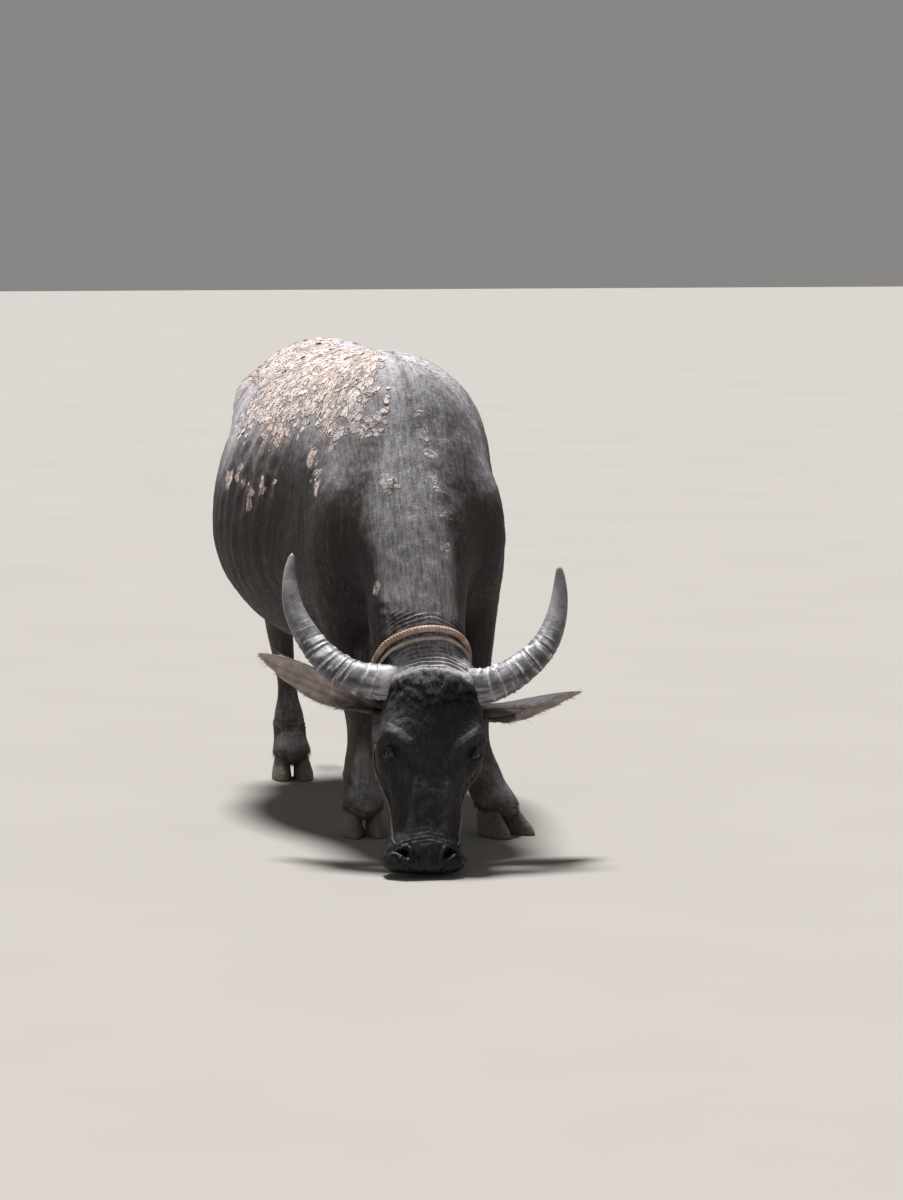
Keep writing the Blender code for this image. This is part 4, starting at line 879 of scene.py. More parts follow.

# %% [markdown]
# ## Buffalo hide
# The real hide is thick, slate-coloured skin with sparse short hair, so it is matte and
# finely wrinkled, and every fold catches dust. Wet mud has dried on the back to a pale
# crust that cracks into plates of one to three centimetres. Its colour also holds painted
# light: dust and painted sunlight together on the upper faces and on a band along the top
# of the neck, painted shade under the body, and painted shadow and highlights round the eyes.

# %% Hide material
def hide_colour(tree, place):
    """The base colour from the markings, with the painted light and shade they hold, shared by the skin and its coat.
    """
    wide = speckle(tree, place, 0.22, 4)
    small = speckle(tree, place, 0.018, 4)
    streaks = speckle(tree, place, 0.010, 3, (1, 1, 0.10))
    long_streaks = speckle(tree, place, 0.006, 3, (1, 0.14, 0.12))
    neck = marking(tree, "neck")
    lines = mix(tree, neck, streaks, long_streaks)
    ground = mix(tree, spread(tree, wide, 0.35, 0.65), colour("#292326"), colour("#40352f"))
    ground = mix(tree, spread(tree, lines, 0.45, 0.75, 0.0, 0.50), ground, colour("#595051"))
    ground = mix(tree, maths(tree, "MULTIPLY", marking(tree, "shade"), 0.80), ground, colour("#191516"))
    ground = mix(tree, spread(tree, streaks, 0.60, 0.80, 0.0, 0.35), ground, colour("#6d6163"))
    # The grey and chalk tones follow the dust marking, so they paint dust and sunlight together.
    grey = mix(tree, spread(tree, lines, 0.35, 0.65), colour("#646267"), colour("#918e92"))
    chalk = mix(tree, spread(tree, small, 0.3, 0.7), colour("#9f999b"), colour("#c3bdbf"))
    dust_and_painted_light = maths(tree, "ADD", marking(tree, "dust_and_painted_light"), spread(tree, small, 0.25, 0.75, -0.10, 0.10))
    tone = mix(tree, spread(tree, dust_and_painted_light, 0.08, 0.50), ground, grey)
    tone = mix(tree, spread(tree, dust_and_painted_light, 0.58, 0.98, 0.0, 0.92), tone, chalk)
    stocking = mix(tree, spread(tree, small, 0.3, 0.7), colour("#4b4138"), colour("#84786d"))
    tone = mix(tree, maths(tree, "MULTIPLY", marking(tree, "pale"), 0.8), tone, stocking)
    black = mix(tree, spread(tree, lines, 0.4, 0.7), colour("#09090a"), colour("#19181a"))
    dark = marking(tree, "dark")
    slate = mix(tree, spread(tree, lines, 0.35, 0.7), colour("#151416"), colour("#322f31"))
    tone = mix(tree, spread(tree, dark, 0.02, 0.45), tone, slate)
    tone = mix(tree, spread(tree, dark, 0.45, 0.85), tone, black)
    return tone, lines, small, wide


def make_hide():
    material, tree, shader, place = new_material("buffalo_hide_dust_and_painted_light", 0.74, Specular_IOR_Level=0.38)
    tone, lines, small, wide = hide_colour(tree, place)
    warp = add(tree, "ShaderNodeTexNoise", {"Vector": place, "Scale": 38.0, "Detail": 3.0}).outputs["Color"]
    bend = add(tree, "ShaderNodeVectorMath", {0: warp, "Scale": 0.022}, operation="SCALE").outputs[0]
    bent = add(tree, "ShaderNodeVectorMath", {0: place, 1: bend}, operation="ADD").outputs[0]
    plates = cells(tree, bent, 0.034, stretch=(0.60, 1, 1))
    fine_plates = cells(tree, bent, 0.011, stretch=(0.7, 1, 1))
    lumps = speckle(tree, bent, 0.026, 4, (0.6, 1, 1))
    mud_edge = maths(tree, "ADD", marking(tree, "mud"), spread(tree, small, 0.2, 0.8, -0.20, 0.20))
    mud_edge = maths(tree, "ADD", mud_edge, spread(tree, lumps, 0.3, 0.7, -0.22, 0.16))
    mud = spread(tree, mud_edge, 0.36, 0.50)
    crack = spread(tree, plates, 0.010, 0.055)
    hair_crack = spread(tree, fine_plates, 0.01, 0.06, 0.35, 1.0)
    broken = maths(tree, "MULTIPLY", crack, hair_crack)
    crust = mix(tree, spread(tree, lumps, 0.32, 0.68), colour("#a59590"), colour("#e2d6d1"))
    crust = mix(tree, spread(tree, speckle(tree, place, 0.10, 3), 0.42, 0.68, 0.0, 0.65), crust, colour("#a3897b"))
    skin_crumbs = mix(tree, spread(tree, lumps, 0.32, 0.68), colour("#8d888a"), colour("#d2cccd"))
    crust = mix(tree, maths(tree, "MULTIPLY", marking(tree, "neck"), 0.8), crust, skin_crumbs)
    crust = mix(tree, spread(tree, broken, 0.0, 0.8, 0.85, 0.0), crust, colour("#4f413a"))
    thin_mud = spread(tree, marking(tree, "mud"), 0.08, 0.60, 0.0, 0.60)
    tone = mix(tree, thin_mud, tone, colour("#8f8280"))
    tone = mix(tree, mud, tone, crust)
    tree.links.new(tone, shader.inputs["Base Color"])
    rough_now = maths(tree, "ADD", spread(tree, small, 0.3, 0.7, 0.60, 0.80), maths(tree, "MULTIPLY", mud, 0.15))
    rough_now = maths(tree, "SUBTRACT", rough_now, maths(tree, "MULTIPLY", marking(tree, "snout"), 0.24))
    tree.links.new(rough_now, shader.inputs["Roughness"])
    pebble = cells(tree, place, 0.0055)
    wrinkle = speckle(tree, place, 0.014, 4, (1, 1, 0.45))
    normal = relief(tree, wrinkle, 0.0035, 0.8)
    normal = relief(tree, pebble, 0.0009, 0.7, normal)
    normal = relief(tree, lines, 0.0016, 0.7, normal)
    plate_height = maths(tree, "MULTIPLY", mud, maths(tree, "ADD", broken, maths(tree, "MULTIPLY", lumps, 1.2)))
    normal = relief(tree, plate_height, 0.0045, 1.0, normal)
    tree.links.new(normal, shader.inputs["Normal"])
    return material


hide_material = make_hide()
hide.data.materials.clear()
hide.data.materials.append(hide_material)
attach(hide, "root")
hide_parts(*FLESH)
print("hide", triangles(hide), "triangles")

# %% [markdown]
# ## Horns
# A swamp buffalo's horn is a flattened crescent of keratin. Rings of growth stand out on
# its inner two thirds, and the tip is worn smooth and pale. It is lofted along the same
# curve as the solid, with ring after ring pushed out where a ridge runs. The height of
# each ridge is kept on the points, so that the material can whiten the crests.

# %% Loft the horns
def horn_mesh(side, rings=300, around=44):
    fine = smooth_line(HORN_LINES[side], 34)
    centres = np.array([on_head(a, -u, o) for a, u, o in fine])
    steps = np.linalg.norm(np.diff(centres, axis=0), axis=1)
    run = np.concatenate([[0], np.cumsum(steps)])
    t = np.linspace(0, 1, rings)
    at = run[-1] * (1 - (1 - t) ** 1.08)
    centres = np.stack([np.interp(at, run, centres[:, i]) for i in range(3)], 1)
    t = at / run[-1]
    along = np.gradient(centres, axis=0)
    along /= np.linalg.norm(along, axis=1)[:, None]
    face = AXES[:, 2] - along * (along @ AXES[:, 2])[:, None]
    face /= np.linalg.norm(face, axis=1)[:, None]
    plane = np.cross(along, face)
    turn = np.linspace(0, 2 * math.pi, around, endpoint=False)
    c, s = np.cos(turn), np.sin(turn)
    # The section is flat in front and behind, and rounder at its lower edge.
    cx = np.sign(c) * np.abs(c) ** 0.87
    sx = np.sign(s) * np.abs(s) ** 0.92
    slim = (1 - t) ** 0.5 * 0.955 + 0.035
    slim = slim * np.where(t > 0.985, np.sqrt(np.clip((1 - t) / 0.015, 0, 1)) * 0.8 + 0.2, 1)
    wobble = np.array([noise.fractal(Vector((v * 11, side * 3.0, 0)), 0.6, 2, 3) for v in t])
    depth = ramp(t, 0.02, 0.08) * (1 - ramp(t, 0.46, 0.70))
    height = np.zeros((rings, around))
    ring_t = t[:, None] + np.zeros(around)
    lean = 0.016 * np.sin(turn + 0.6) + 0.009 * np.sin(2 * turn + 1.3)
    phase = 2 * math.pi * (13.5 * (ring_t + lean[None]) / 0.70 + 0.75 * wobble[:, None])
    wave = np.sin(phase)
    crest = np.where(wave > 0, wave ** 1.6, 0.45 * wave)
    spot = np.stack([ring_t * 22, np.cos(turn)[None] * 1.3 + ring_t * 0, np.sin(turn)[None] * 1.3 + ring_t * 0], -1)
    patch = grain(spot.reshape(-1, 3), 1.0, 50 + side, 2).reshape(rings, around)
    height = crest * depth[:, None] * np.clip(0.70 + 0.75 * patch, 0.05, 1.3)
    fibre = grain(spot.reshape(-1, 3) * (0.25, 3.0, 3.0), 1.0, 60 + side, 3).reshape(rings, around)
    reach_a = (HORN_DEPTH * slim)[:, None] + 0.0017 * height + 0.0006 * fibre * slim[:, None]
    reach_b = (HORN_BREADTH * slim)[:, None] + 0.0019 * height + 0.0008 * fibre * slim[:, None]
    ring_points = (centres[:, None] + face[:, None] * (cx[None, :] * reach_a)[..., None]
                   + plane[:, None] * (sx[None, :] * reach_b)[..., None])
    points, quads = loft(ring_points)
    tip = centres[-1] + along[-1] * 0.0015
    points = np.vstack([points, tip, centres[0]])
    k = np.arange(around)
    base = (rings - 1) * around
    caps = [(base + i, base + (i + 1) % around, len(points) - 2) for i in k]
    caps += [((i + 1) % around, i, len(points) - 1) for i in k]
    mesh = bpy.data.meshes.new("horn")
    mesh.from_pydata(points.tolist(), [], quads.tolist() + caps)
    work = bmesh.new()
    work.from_mesh(mesh)
    bmesh.ops.recalc_face_normals(work, faces=work.faces[:])
    work.to_mesh(mesh)
    work.free()
    give(mesh, "crest", np.concatenate([height.ravel(), [0, 0]]))
    give(mesh, "fibre", np.concatenate([fibre.ravel(), [0, 0]]))
    give(mesh, "up_horn", np.concatenate([np.repeat(t, around), [1, 0]]))
    return mesh


def make_horn():
    """Dry keratin: slate grey, whitened where ridges rub, painted shade in the grooves, chalky at the root, smooth
    above.
    """
    material, tree, shader, place = new_material("horn_keratin_weathered", 0.48, Specular_IOR_Level=0.5)
    crest = marking(tree, "crest")
    fibre = marking(tree, "fibre")
    up_horn = marking(tree, "up_horn")
    cloud = speckle(tree, place, 0.030, 4)
    scratch = speckle(tree, place, 0.005, 4)
    base = mix(tree, spread(tree, cloud, 0.3, 0.7), colour("#3d3b40"), colour("#67656b"))
    base = mix(tree, spread(tree, fibre, 0.0, 0.5, 0.0, 0.55), base, colour("#85828a"))
    worn = maths(tree, "MULTIPLY", spread(tree, crest, 0.25, 0.85), spread(tree, scratch, 0.38, 0.60, 0.25, 1.0))
    base = mix(tree, worn, base, colour("#c5c1c2"))
    # Darker in the grooves between the ridges: painted shade.
    base = mix(tree, spread(tree, crest, -0.35, -0.05, 0.60, 0.0), base, colour("#2a282b"))
    chalky = maths(tree, "MULTIPLY", spread(tree, up_horn, 0.03, 0.26, 0.85, 0.0), spread(tree, fibre, -0.3, 0.35))
    base = mix(tree, chalky, base, colour("#aeaaae"))
    smooth_tip = mix(tree, spread(tree, cloud, 0.3, 0.7), colour("#6f6c72"), colour("#a29fa4"))
    base = mix(tree, spread(tree, up_horn, 0.50, 0.78, 0.0, 0.85), base, smooth_tip)
    base = mix(tree, spread(tree, scratch, 0.60, 0.78, 0.0, 0.35), base, colour("#d2cecb"))
    base = mix(tree, spread(tree, up_horn, 0.0, 0.05, 0.80, 0.0), base, colour("#2b282a"))
    tree.links.new(base, shader.inputs["Base Color"])
    tree.links.new(spread(tree, cloud, 0.3, 0.7, 0.40, 0.60), shader.inputs["Roughness"])
    normal = relief(tree, speckle(tree, place, 0.009, 4), 0.0010, 0.7)
    normal = relief(tree, scratch, 0.0005, 0.6, normal)
    tree.links.new(normal, shader.inputs["Normal"])
    return material


horn_material = make_horn()
for side, word in ((-1, "right"), (1, "left")):
    horn = piece(f"horn_keratin_{word}", horn_mesh(side))
    horn.data.materials.append(horn_material)
    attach(horn, "root")
    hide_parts(f"horn_{word}")
    print(horn.name, triangles(horn), "triangles")

# %% [markdown]
# ## Ears
# The ears are broad leaves of gristle, dark outside, pinkish and hairy inside. The solid
# has the right leaf and cup, so a welded copy is smoothed by a subdivision surface and
# given shallow ribs that run to the tip.

# %% Smooth the ears
def ear_opening(side):
    root, tip = EAR_ENDS[side]
    axis = (tip - root) / np.linalg.norm(tip - root)
    opening = AXES @ np.array((0, 0.85, 0.52 if side < 0 else 0.06))
    opening -= axis * (opening @ axis)
    return axis, opening / np.linalg.norm(opening)


def make_ear():
    """Thin hide over gristle: near black outside, greyish pink and veined in the cup, with painted shade in the cup
    toward the root.
    """
    material, tree, shader, place = new_material("ear_skin_thin", 0.72, Subsurface_Weight=0.06,
                                                 Specular_IOR_Level=0.35)
    shader.inputs["Subsurface Radius"].default_value = (0.010, 0.004, 0.003)
    inner = marking(tree, "inner")
    small = speckle(tree, place, 0.030, 4)
    veins = speckle(tree, place, 0.014, 4, (0.3, 1, 1))
    inside = mix(tree, spread(tree, small, 0.3, 0.7), colour("#8b7f7a"), colour("#b5a9a4"))
    inside = mix(tree, spread(tree, veins, 0.50, 0.75, 0.0, 0.35), inside, colour("#6a5b56"))
    # Painted shade in the cup near the root of the ear.
    inside = mix(tree, maths(tree, "MULTIPLY", marking(tree, "painted_cup_shade"), 0.85), inside, colour("#302726"))
    outside = mix(tree, spread(tree, small, 0.3, 0.7), colour("#1a181a"), colour("#35302f"))
    tone = mix(tree, inner, outside, inside)
    tone = mix(tree, maths(tree, "MULTIPLY", marking(tree, "rim"), 0.60), tone, colour("#211c1b"))
    tree.links.new(tone, shader.inputs["Base Color"])
    normal = relief(tree, small, 0.0018, 0.7)
    normal = relief(tree, veins, 0.0016, 0.6, normal)
    tree.links.new(normal, shader.inputs["Normal"])
    return material


ear_material = make_ear()
ears = {}
for side, word in ((-1, "right"), (1, "left")):
    work = merged_copy(f"ear_{word}")
    bmesh.ops.join_triangles(work, faces=work.faces[:], angle_face_threshold=1.2, angle_shape_threshold=1.6)
    mesh = bpy.data.meshes.new(f"ear_{word}")
    work.to_mesh(mesh)
    work.free()
    ear = piece(f"ear_skin_{word}", mesh)
    soften = ear.modifiers.new("soften", "SUBSURF")
    soften.levels = soften.render_levels = 3
    baked(ear)
    axis, opening = ear_opening(side)
    points = read_points(ear.data)
    normals = read_points(ear.data, "normal")
    root, tip = EAR_ENDS[side]
    along = (points - root) @ axis / np.linalg.norm(tip - root)
    across = (points - root) @ np.cross(axis, opening)
    inner = ramp(normals @ opening, -0.1, 0.25) * ramp(along, 0.10, 0.22)
    ribs = 0.0016 * np.cos(2 * math.pi * across / 0.017) * inner * ramp(along, 0.15, 0.3) * (1 - ramp(along, 0.8, 1))
    write_points(ear.data, points + normals * (ribs + 0.0005 * grain(points, 0.02, 21, 3))[:, None])
    give(ear.data, "inner", inner)
    give(ear.data, "rim", np.exp(-(np.abs(normals @ opening) / 0.35) ** 2))
    # Where the cup gets its painted shade: inside, toward the root.
    give(ear.data, "painted_cup_shade", inner * (1 - ramp(along, 0.20, 0.48)))
    ear.data.materials.clear()
    ear.data.materials.append(ear_material)
    ear.data.polygons.foreach_set("use_smooth", np.ones(len(ear.data.polygons), bool))
    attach(ear, "root")
    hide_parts(f"ear_{word}")
    ears[side] = ear
    print(ear.name, triangles(ear), "triangles")

# %% [markdown]
# ## Eyes
# Cattle have dark brown eyes with a wide, flat pupil. A plain ball would do from afar,
# but a wet eye shows by its highlight, so it is a fine ball whose clear front bulges a
# little, with the pupil drawn by two numbers kept on its points.

# %% Make the eyes
def eye_mesh(side):
    outward, along, across = eye_directions(side)
    gaze = outward * 0.97 + (AXES @ np.array((0, 0.18, 0.10)))
    gaze /= np.linalg.norm(gaze)
    flat = along - gaze * (along @ gaze)
    flat /= np.linalg.norm(flat)
    tall = np.cross(gaze, flat)
    work = bmesh.new()
    bmesh.ops.create_icosphere(work, subdivisions=5, radius=1)
    mesh = bpy.data.meshes.new("eyeball")
    work.to_mesh(mesh)
    work.free()
    unit = read_points(mesh)
    front = np.arccos(np.clip(unit @ gaze, -1, 1))
    bulge = 1 + 0.035 * (1 - ramp(front, 0.0, 0.75))
    write_points(mesh, eye_at[side] + unit * (EYE_RADIUS * 0.985) * bulge[:, None])
    give(mesh, "from_gaze", front)
    give(mesh, "pupil", np.hypot((unit @ flat) / 0.36, (unit @ tall) / 0.17) + (front > 1.2) * 9)
    return mesh


def make_eye():
    material, tree, shader, place = new_material("wet_cornea_dark_iris", 0.14, Coat_Weight=0.25, Coat_Roughness=0.05,
                                                 Specular_IOR_Level=0.35)
    front = marking(tree, "from_gaze")
    fibres = speckle(tree, place, 0.0025, 3)
    iris = mix(tree, spread(tree, fibres, 0.3, 0.7), colour("#120a07"), colour("#26170f"))
    ball = mix(tree, spread(tree, front, 0.66, 0.76), iris, colour("#1d1412"))
    ball = mix(tree, spread(tree, front, 0.95, 1.25), ball, colour("#2f2523"))
    ball = mix(tree, spread(tree, marking(tree, "pupil"), 0.92, 1.05), colour("#020202"), ball)
    tree.links.new(ball, shader.inputs["Base Color"])
    return material


eye_material = make_eye()
for side, word in ((-1, "right"), (1, "left")):
    eye = piece(f"eyeball_{word}", eye_mesh(side))
    eye.data.materials.append(eye_material)
    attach(eye, "root")
    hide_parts(f"eye_{word}")
print("eyes at", eye_at[-1].round(3), eye_at[1].round(3))

# %% [markdown]
# ## Hooves
# Each foot stands on two claws, with two dewclaws behind. Claws grow down from the skin
# in fine rings and wear flat on the ground. The solids' claws are rebuilt with small
# squares and softened, but every point that lies on the floor stays on it.

# %% Rebuild claws and dewclaws
CLAWS = [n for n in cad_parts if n.startswith("claw_")]
DEWCLAWS = [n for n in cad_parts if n.startswith("dewclaw_")]


def horny(name, nodes, square, rounds, pull_in):
    work = bmesh.new()
    for node in nodes:
        part = merged_copy(node)
        loose = bpy.data.meshes.new(node)
        part.to_mesh(loose)
        part.free()
        work.from_mesh(loose)
    mesh = bpy.data.meshes.new(name)
    work.to_mesh(mesh)
    work.free()
    item = piece(name, mesh)
    rebuild = item.modifiers.new("rebuild", "REMESH")
    rebuild.mode = "VOXEL"
    rebuild.voxel_size = square
    baked(item)
    start = read_points(item.data)
    points = relax(start, read_edges(item.data), 0.5, rounds)
    feet = np.array([np.mean(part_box(n), axis=0) for n in nodes])[:, :2].reshape(-1, 2, 2).mean(1)
    nearest = np.linalg.norm(points[:, None, :2] - feet[None], axis=2).argmin(1)
    points[:, :2] -= (points[:, :2] - feet[nearest]) * (pull_in * ramp(points[:, 2], 0.008, 0.075))[:, None]
    sole = start[:, 2] < 0.004
    points[sole, 2] = np.maximum(start[sole, 2], 0.0)
    write_points(item.data, points)
    normals = read_points(item.data, "normal")
    rings = np.sin(2 * math.pi * points[:, 2] / 0.0075 + 2.2 * grain(points, 0.03, 31, 2))
    wall = ramp(points[:, 2], 0.006, 0.016)
    write_points(item.data, points + normals * (0.0003 * rings * wall + 0.0008 * grain(points, 0.008, 32, 2) * wall)[:, None])
    give(item.data, "ring", rings)
    item.data.polygons.foreach_set("use_smooth", np.ones(len(item.data.polygons), bool))
    return item


def make_hoof():
    material, tree, shader, place = new_material("hoof_horn_worn", 0.62, Specular_IOR_Level=0.42)
    small = speckle(tree, place, 0.006, 4)
    upright = speckle(tree, place, 0.004, 3, (1, 1, 0.15))
    tone = mix(tree, spread(tree, upright, 0.3, 0.7), colour("#413b37"), colour("#716a63"))
    tone = mix(tree, spread(tree, marking(tree, "ring"), 0.2, 1.0, 0.0, 0.22), tone, colour("#a69f97"))
    height = add(tree, "ShaderNodeSeparateXYZ", {0: place}).outputs[2]
    soil = maths(tree, "MULTIPLY", spread(tree, height, 0.005, 0.055, 0.85, 0.15), spread(tree, small, 0.3, 0.7, 0.5, 1))
    tone = mix(tree, soil, tone, colour("#74685d"))
    tone = mix(tree, spread(tree, height, 0.080, 0.100), tone, mix(tree, upright, colour("#1f1c1b"), colour("#453f3a")))
    tree.links.new(tone, shader.inputs["Base Color"])
    normal = relief(tree, upright, 0.0006, 0.7)
    normal = relief(tree, small, 0.0008, 0.6, normal)
    tree.links.new(normal, shader.inputs["Normal"])
    return material


hoof_material = make_hoof()
for name, nodes, square, rounds, pull_in in (("claws", CLAWS, 0.0038, 5, 0.10), ("dewclaws", DEWCLAWS, 0.0026, 6, 0.0)):
    item = horny(name, nodes, square, rounds, pull_in)
    item.data.materials.append(hoof_material)
    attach(item, "root")
    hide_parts(*nodes)
    print(item.name, triangles(item), "triangles, lowest", round(float(read_points(item.data)[:, 2].min()), 4))

# %% [markdown]
# ## The unwrap that every hair shares
# Each hair takes its place on one flat map of the whole body. The welded solids are few
# enough to unwrap in a moment, and they have the skin's own shape, so the nearest point
# on them gives a root its place on the map.

# %% Unwrap the body once
def body_map():
    work = bmesh.new()
    for node in FLESH + ["ear_right", "ear_left"]:
        part = merged_copy(node)
        loose = bpy.data.meshes.new(node)
        part.to_mesh(loose)
        part.free()
        work.from_mesh(loose)
    bmesh.ops.triangulate(work, faces=work.faces[:])
    mesh = bpy.data.meshes.new("map_source")
    work.to_mesh(mesh)
    work.free()
    item = piece("map_source", mesh)
    bpy.context.view_layer.objects.active = item
    item.select_set(True)
    bpy.ops.object.mode_set(mode="EDIT")
    bpy.ops.mesh.select_all(action="SELECT")
    bpy.ops.uv.smart_project(angle_limit=math.radians(66), island_margin=0.002)
    bpy.ops.object.mode_set(mode="OBJECT")
    flat = np.empty(len(mesh.loops) * 2)
    item.data.uv_layers.active.data.foreach_get("uv", flat)
    uv = flat.reshape(-1, 3, 2)
    points = read_points(item.data)
    corners = np.empty(len(item.data.loops), np.int32)
    item.data.loops.foreach_get("vertex_index", corners)
    faces = corners.reshape(-1, 3)
    tree = BVHTree.FromPolygons(points.tolist(), faces.tolist())
    bpy.data.objects.remove(item)
    return tree, points[faces], uv


map_tree, map_corners, map_uv = body_map()


def place_on_map(points):
    """The map position of the nearest point of the body, for each point."""
    found = np.empty((len(points), 2))
    for i, point in enumerate(points):
        hit, _, index, _ = map_tree.find_nearest(Vector(point))
        a, b, c = map_corners[index]
        area = np.cross(b - a, c - a)
        size = area @ area
        h = np.array(hit)
        w1 = np.cross(b - h, c - h) @ area / size
        w2 = np.cross(c - h, a - h) @ area / size
        found[i] = np.clip([w1, w2, 1 - w1 - w2], 0, 1) @ map_uv[index]
    return found


print("map faces", len(map_uv))

# %% [markdown]
# ## Coat
# A swamp buffalo is nearly bare, with short coarse hairs that lie along the body. Hair
# curves would be lost on export, so each tuft is a small closed blade of mesh. All are
# made together as arrays: roots drawn on the skin, a direction to lie in, a length. A
# tuft takes over the markings of the skin at its root.

# %% Make tufts from arrays
draw = np.random.default_rng(2024)


def roots_on(mesh, weight, count):
    """Random roots on a mesh, more where the weight is higher: points, normals."""
    mesh.calc_loop_triangles()
    corners = np.empty(len(mesh.loop_triangles) * 3, np.int32)
    mesh.loop_triangles.foreach_get("vertices", corners)
    faces = corners.reshape(-1, 3)
    points = read_points(mesh)
    normals = read_points(mesh, "normal")
    a, b, c = points[faces[:, 0]], points[faces[:, 1]], points[faces[:, 2]]
    area = np.linalg.norm(np.cross(b - a, c - a), axis=1)
    chance = area * weight[faces].mean(1)
    chosen = draw.choice(len(faces), count, p=chance / chance.sum())
    r1, r2 = np.sqrt(draw.random(count)), draw.random(count)
    w = np.stack([1 - r1, r1 * (1 - r2), r1 * r2], 1)
    at = (points[faces[chosen]] * w[..., None]).sum(1)
    up = (normals[faces[chosen]] * w[..., None]).sum(1)
    return at, up / np.maximum(np.linalg.norm(up, axis=1), 1e-9)[:, None]


def tufts(name, roots, normals, lie, length, width, rise=0.25, droop=0.25, sway=0.15, stations=4, sink=0.0015,
          gather=None):
    """Closed three-sided blades that leave the skin at a slant and bend back toward it."""
    count = len(roots)
    lie = lie - normals * (lie * normals).sum(1)[:, None]
    lie /= np.maximum(np.linalg.norm(lie, axis=1), 1e-6)[:, None]
    cross = np.cross(normals, lie)
    lie = lie + cross * draw.normal(0, sway, count)[:, None]
    lie /= np.linalg.norm(lie, axis=1)[:, None]
    cross = np.cross(normals, lie)
    length = np.broadcast_to(length, count)[:, None]
    width = np.broadcast_to(width, count)[:, None]
    rise = np.broadcast_to(rise, count)[:, None]
    droop = np.broadcast_to(droop, count)[:, None]
    curl = draw.normal(0, 0.10, count)[:, None]
    rings = []
    for i in range(stations):
        t = i / stations
        centre = (roots - normals * sink + lie * length * t + normals * length * (rise * t - droop * t * t)
                  + cross * length * curl * t * t)
        if gather is not None:
            centre = gather(centre, roots, t)
        half = width * (1 - 0.75 * t ** 1.5) * 0.5
        rings.append(np.stack([centre + cross * half, centre - cross * half, centre + normals * half * 0.8], 1))
    tip = roots + lie * length + normals * length * (rise - droop) + cross * length * curl
    if gather is not None:
        tip = gather(tip, roots, 1.0)
    each = 3 * stations + 1
    points = np.concatenate([np.concatenate(rings, 1), tip[:, None]], 1).reshape(-1, 3)
    faces = []
    for i in range(stations - 1):
        for k in range(3):
            a, b = 3 * i + k, 3 * i + (k + 1) % 3
            faces += [(a, b, b + 3), (a, b + 3, a + 3)]
    last = 3 * (stations - 1)
    faces += [(last + k, last + (k + 1) % 3, each - 1) for k in range(3)] + [(0, 2, 1)]
    faces = np.array(faces)
    offsets = np.arange(count)[:, None, None] * each
    all_faces = (faces[None] + offsets).reshape(-1, 3)
    mesh = mesh_of(name, points, all_faces)
    at = place_on_map(roots)
    patch = np.array([(i / stations, k / 3) for i in range(stations) for k in range(3)] + [(1, 0.5)]) * 0.003
    uv = (at[:, None] + patch[None]).reshape(-1, 2)
    layer = mesh.uv_layers.new(name="OFBake")
    corners = np.empty(len(mesh.loops), np.int32)
    mesh.loops.foreach_get("vertex_index", corners)
    layer.data.foreach_set("uv", uv[corners].astype(np.float32).ravel())
    for key, values in markings(roots, normals).items():
        give(mesh, key, np.repeat(values, each))
    give(mesh, "tint", np.repeat(draw.random(count), each))
    item = piece(name, mesh)
    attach(item, "root")
    return item


def make_coat(name, light_share):
    """Coarse hair: the hide's own marks, a tint for each tuft, and a satin shine."""
    material, tree, shader, place = new_material(name, 0.66, Specular_IOR_Level=0.14)
    tone, _, _, _ = hide_colour(tree, place)
    tone = mix(tree, spread(tree, marking(tree, "mud"), 0.35, 0.6, 0.0, 0.9), tone, colour("#c2b2aa"))
    tint = marking(tree, "tint")
    light = maths(tree, "MULTIPLY", spread(tree, tint, 1 - light_share, 1.0, 0.0, 0.55),
                  spread(tree, marking(tree, "dark"), 0.2, 0.8, 1.0, 0.10))
    tone = mix(tree, light, tone, colour("#8d8177"))
    tone = mix(tree, spread(tree, tint, 0.0, 0.5, 0.28, 0.0), tone, colour("#100f10"))
    tree.links.new(tone, shader.inputs["Base Color"])
    normal = relief(tree, speckle(tree, place, 0.002, 2), 0.0003, 0.5)
    tree.links.new(normal, shader.inputs["Normal"])
    return material


def lie_of(points):
    """The direction in which the coat lies, before it is laid on the skin."""
    p = points - WITHERS
    lie = np.tile(np.array((0.0, 0.75, -0.65)), (len(p), 1))
    leg = 1 - ramp(p[:, 2], 0.42, 0.62)
    lie = lie * (1 - leg[:, None]) + np.array((0, 0.10, -1.0)) * leg[:, None]
    view = head_view(points)
    head = ramp(view[:, 1], -0.02, 0.04) * (p[:, 1] < -0.30) * (view[:, 2] > -0.34)
    down_face = AXES[:, 1] * 1.0
    outward = AXES[:, 0][None] * (np.sign(view[:, 0]) * 0.35)[:, None]
    head_lie = down_face[None] + outward
    neck = (1 - ramp(p[:, 1], -0.20, 0.0)) * (1 - head)
    neck_lie = np.array((0, 0.55, 0.35))[None] + np.sign(p[:, :1]) * np.array((0.5, 0, -0.5))[None]
    lie = lie * (1 - neck[:, None]) + neck_lie * neck[:, None]
    return lie * (1 - head[:, None]) + head_lie * head[:, None]


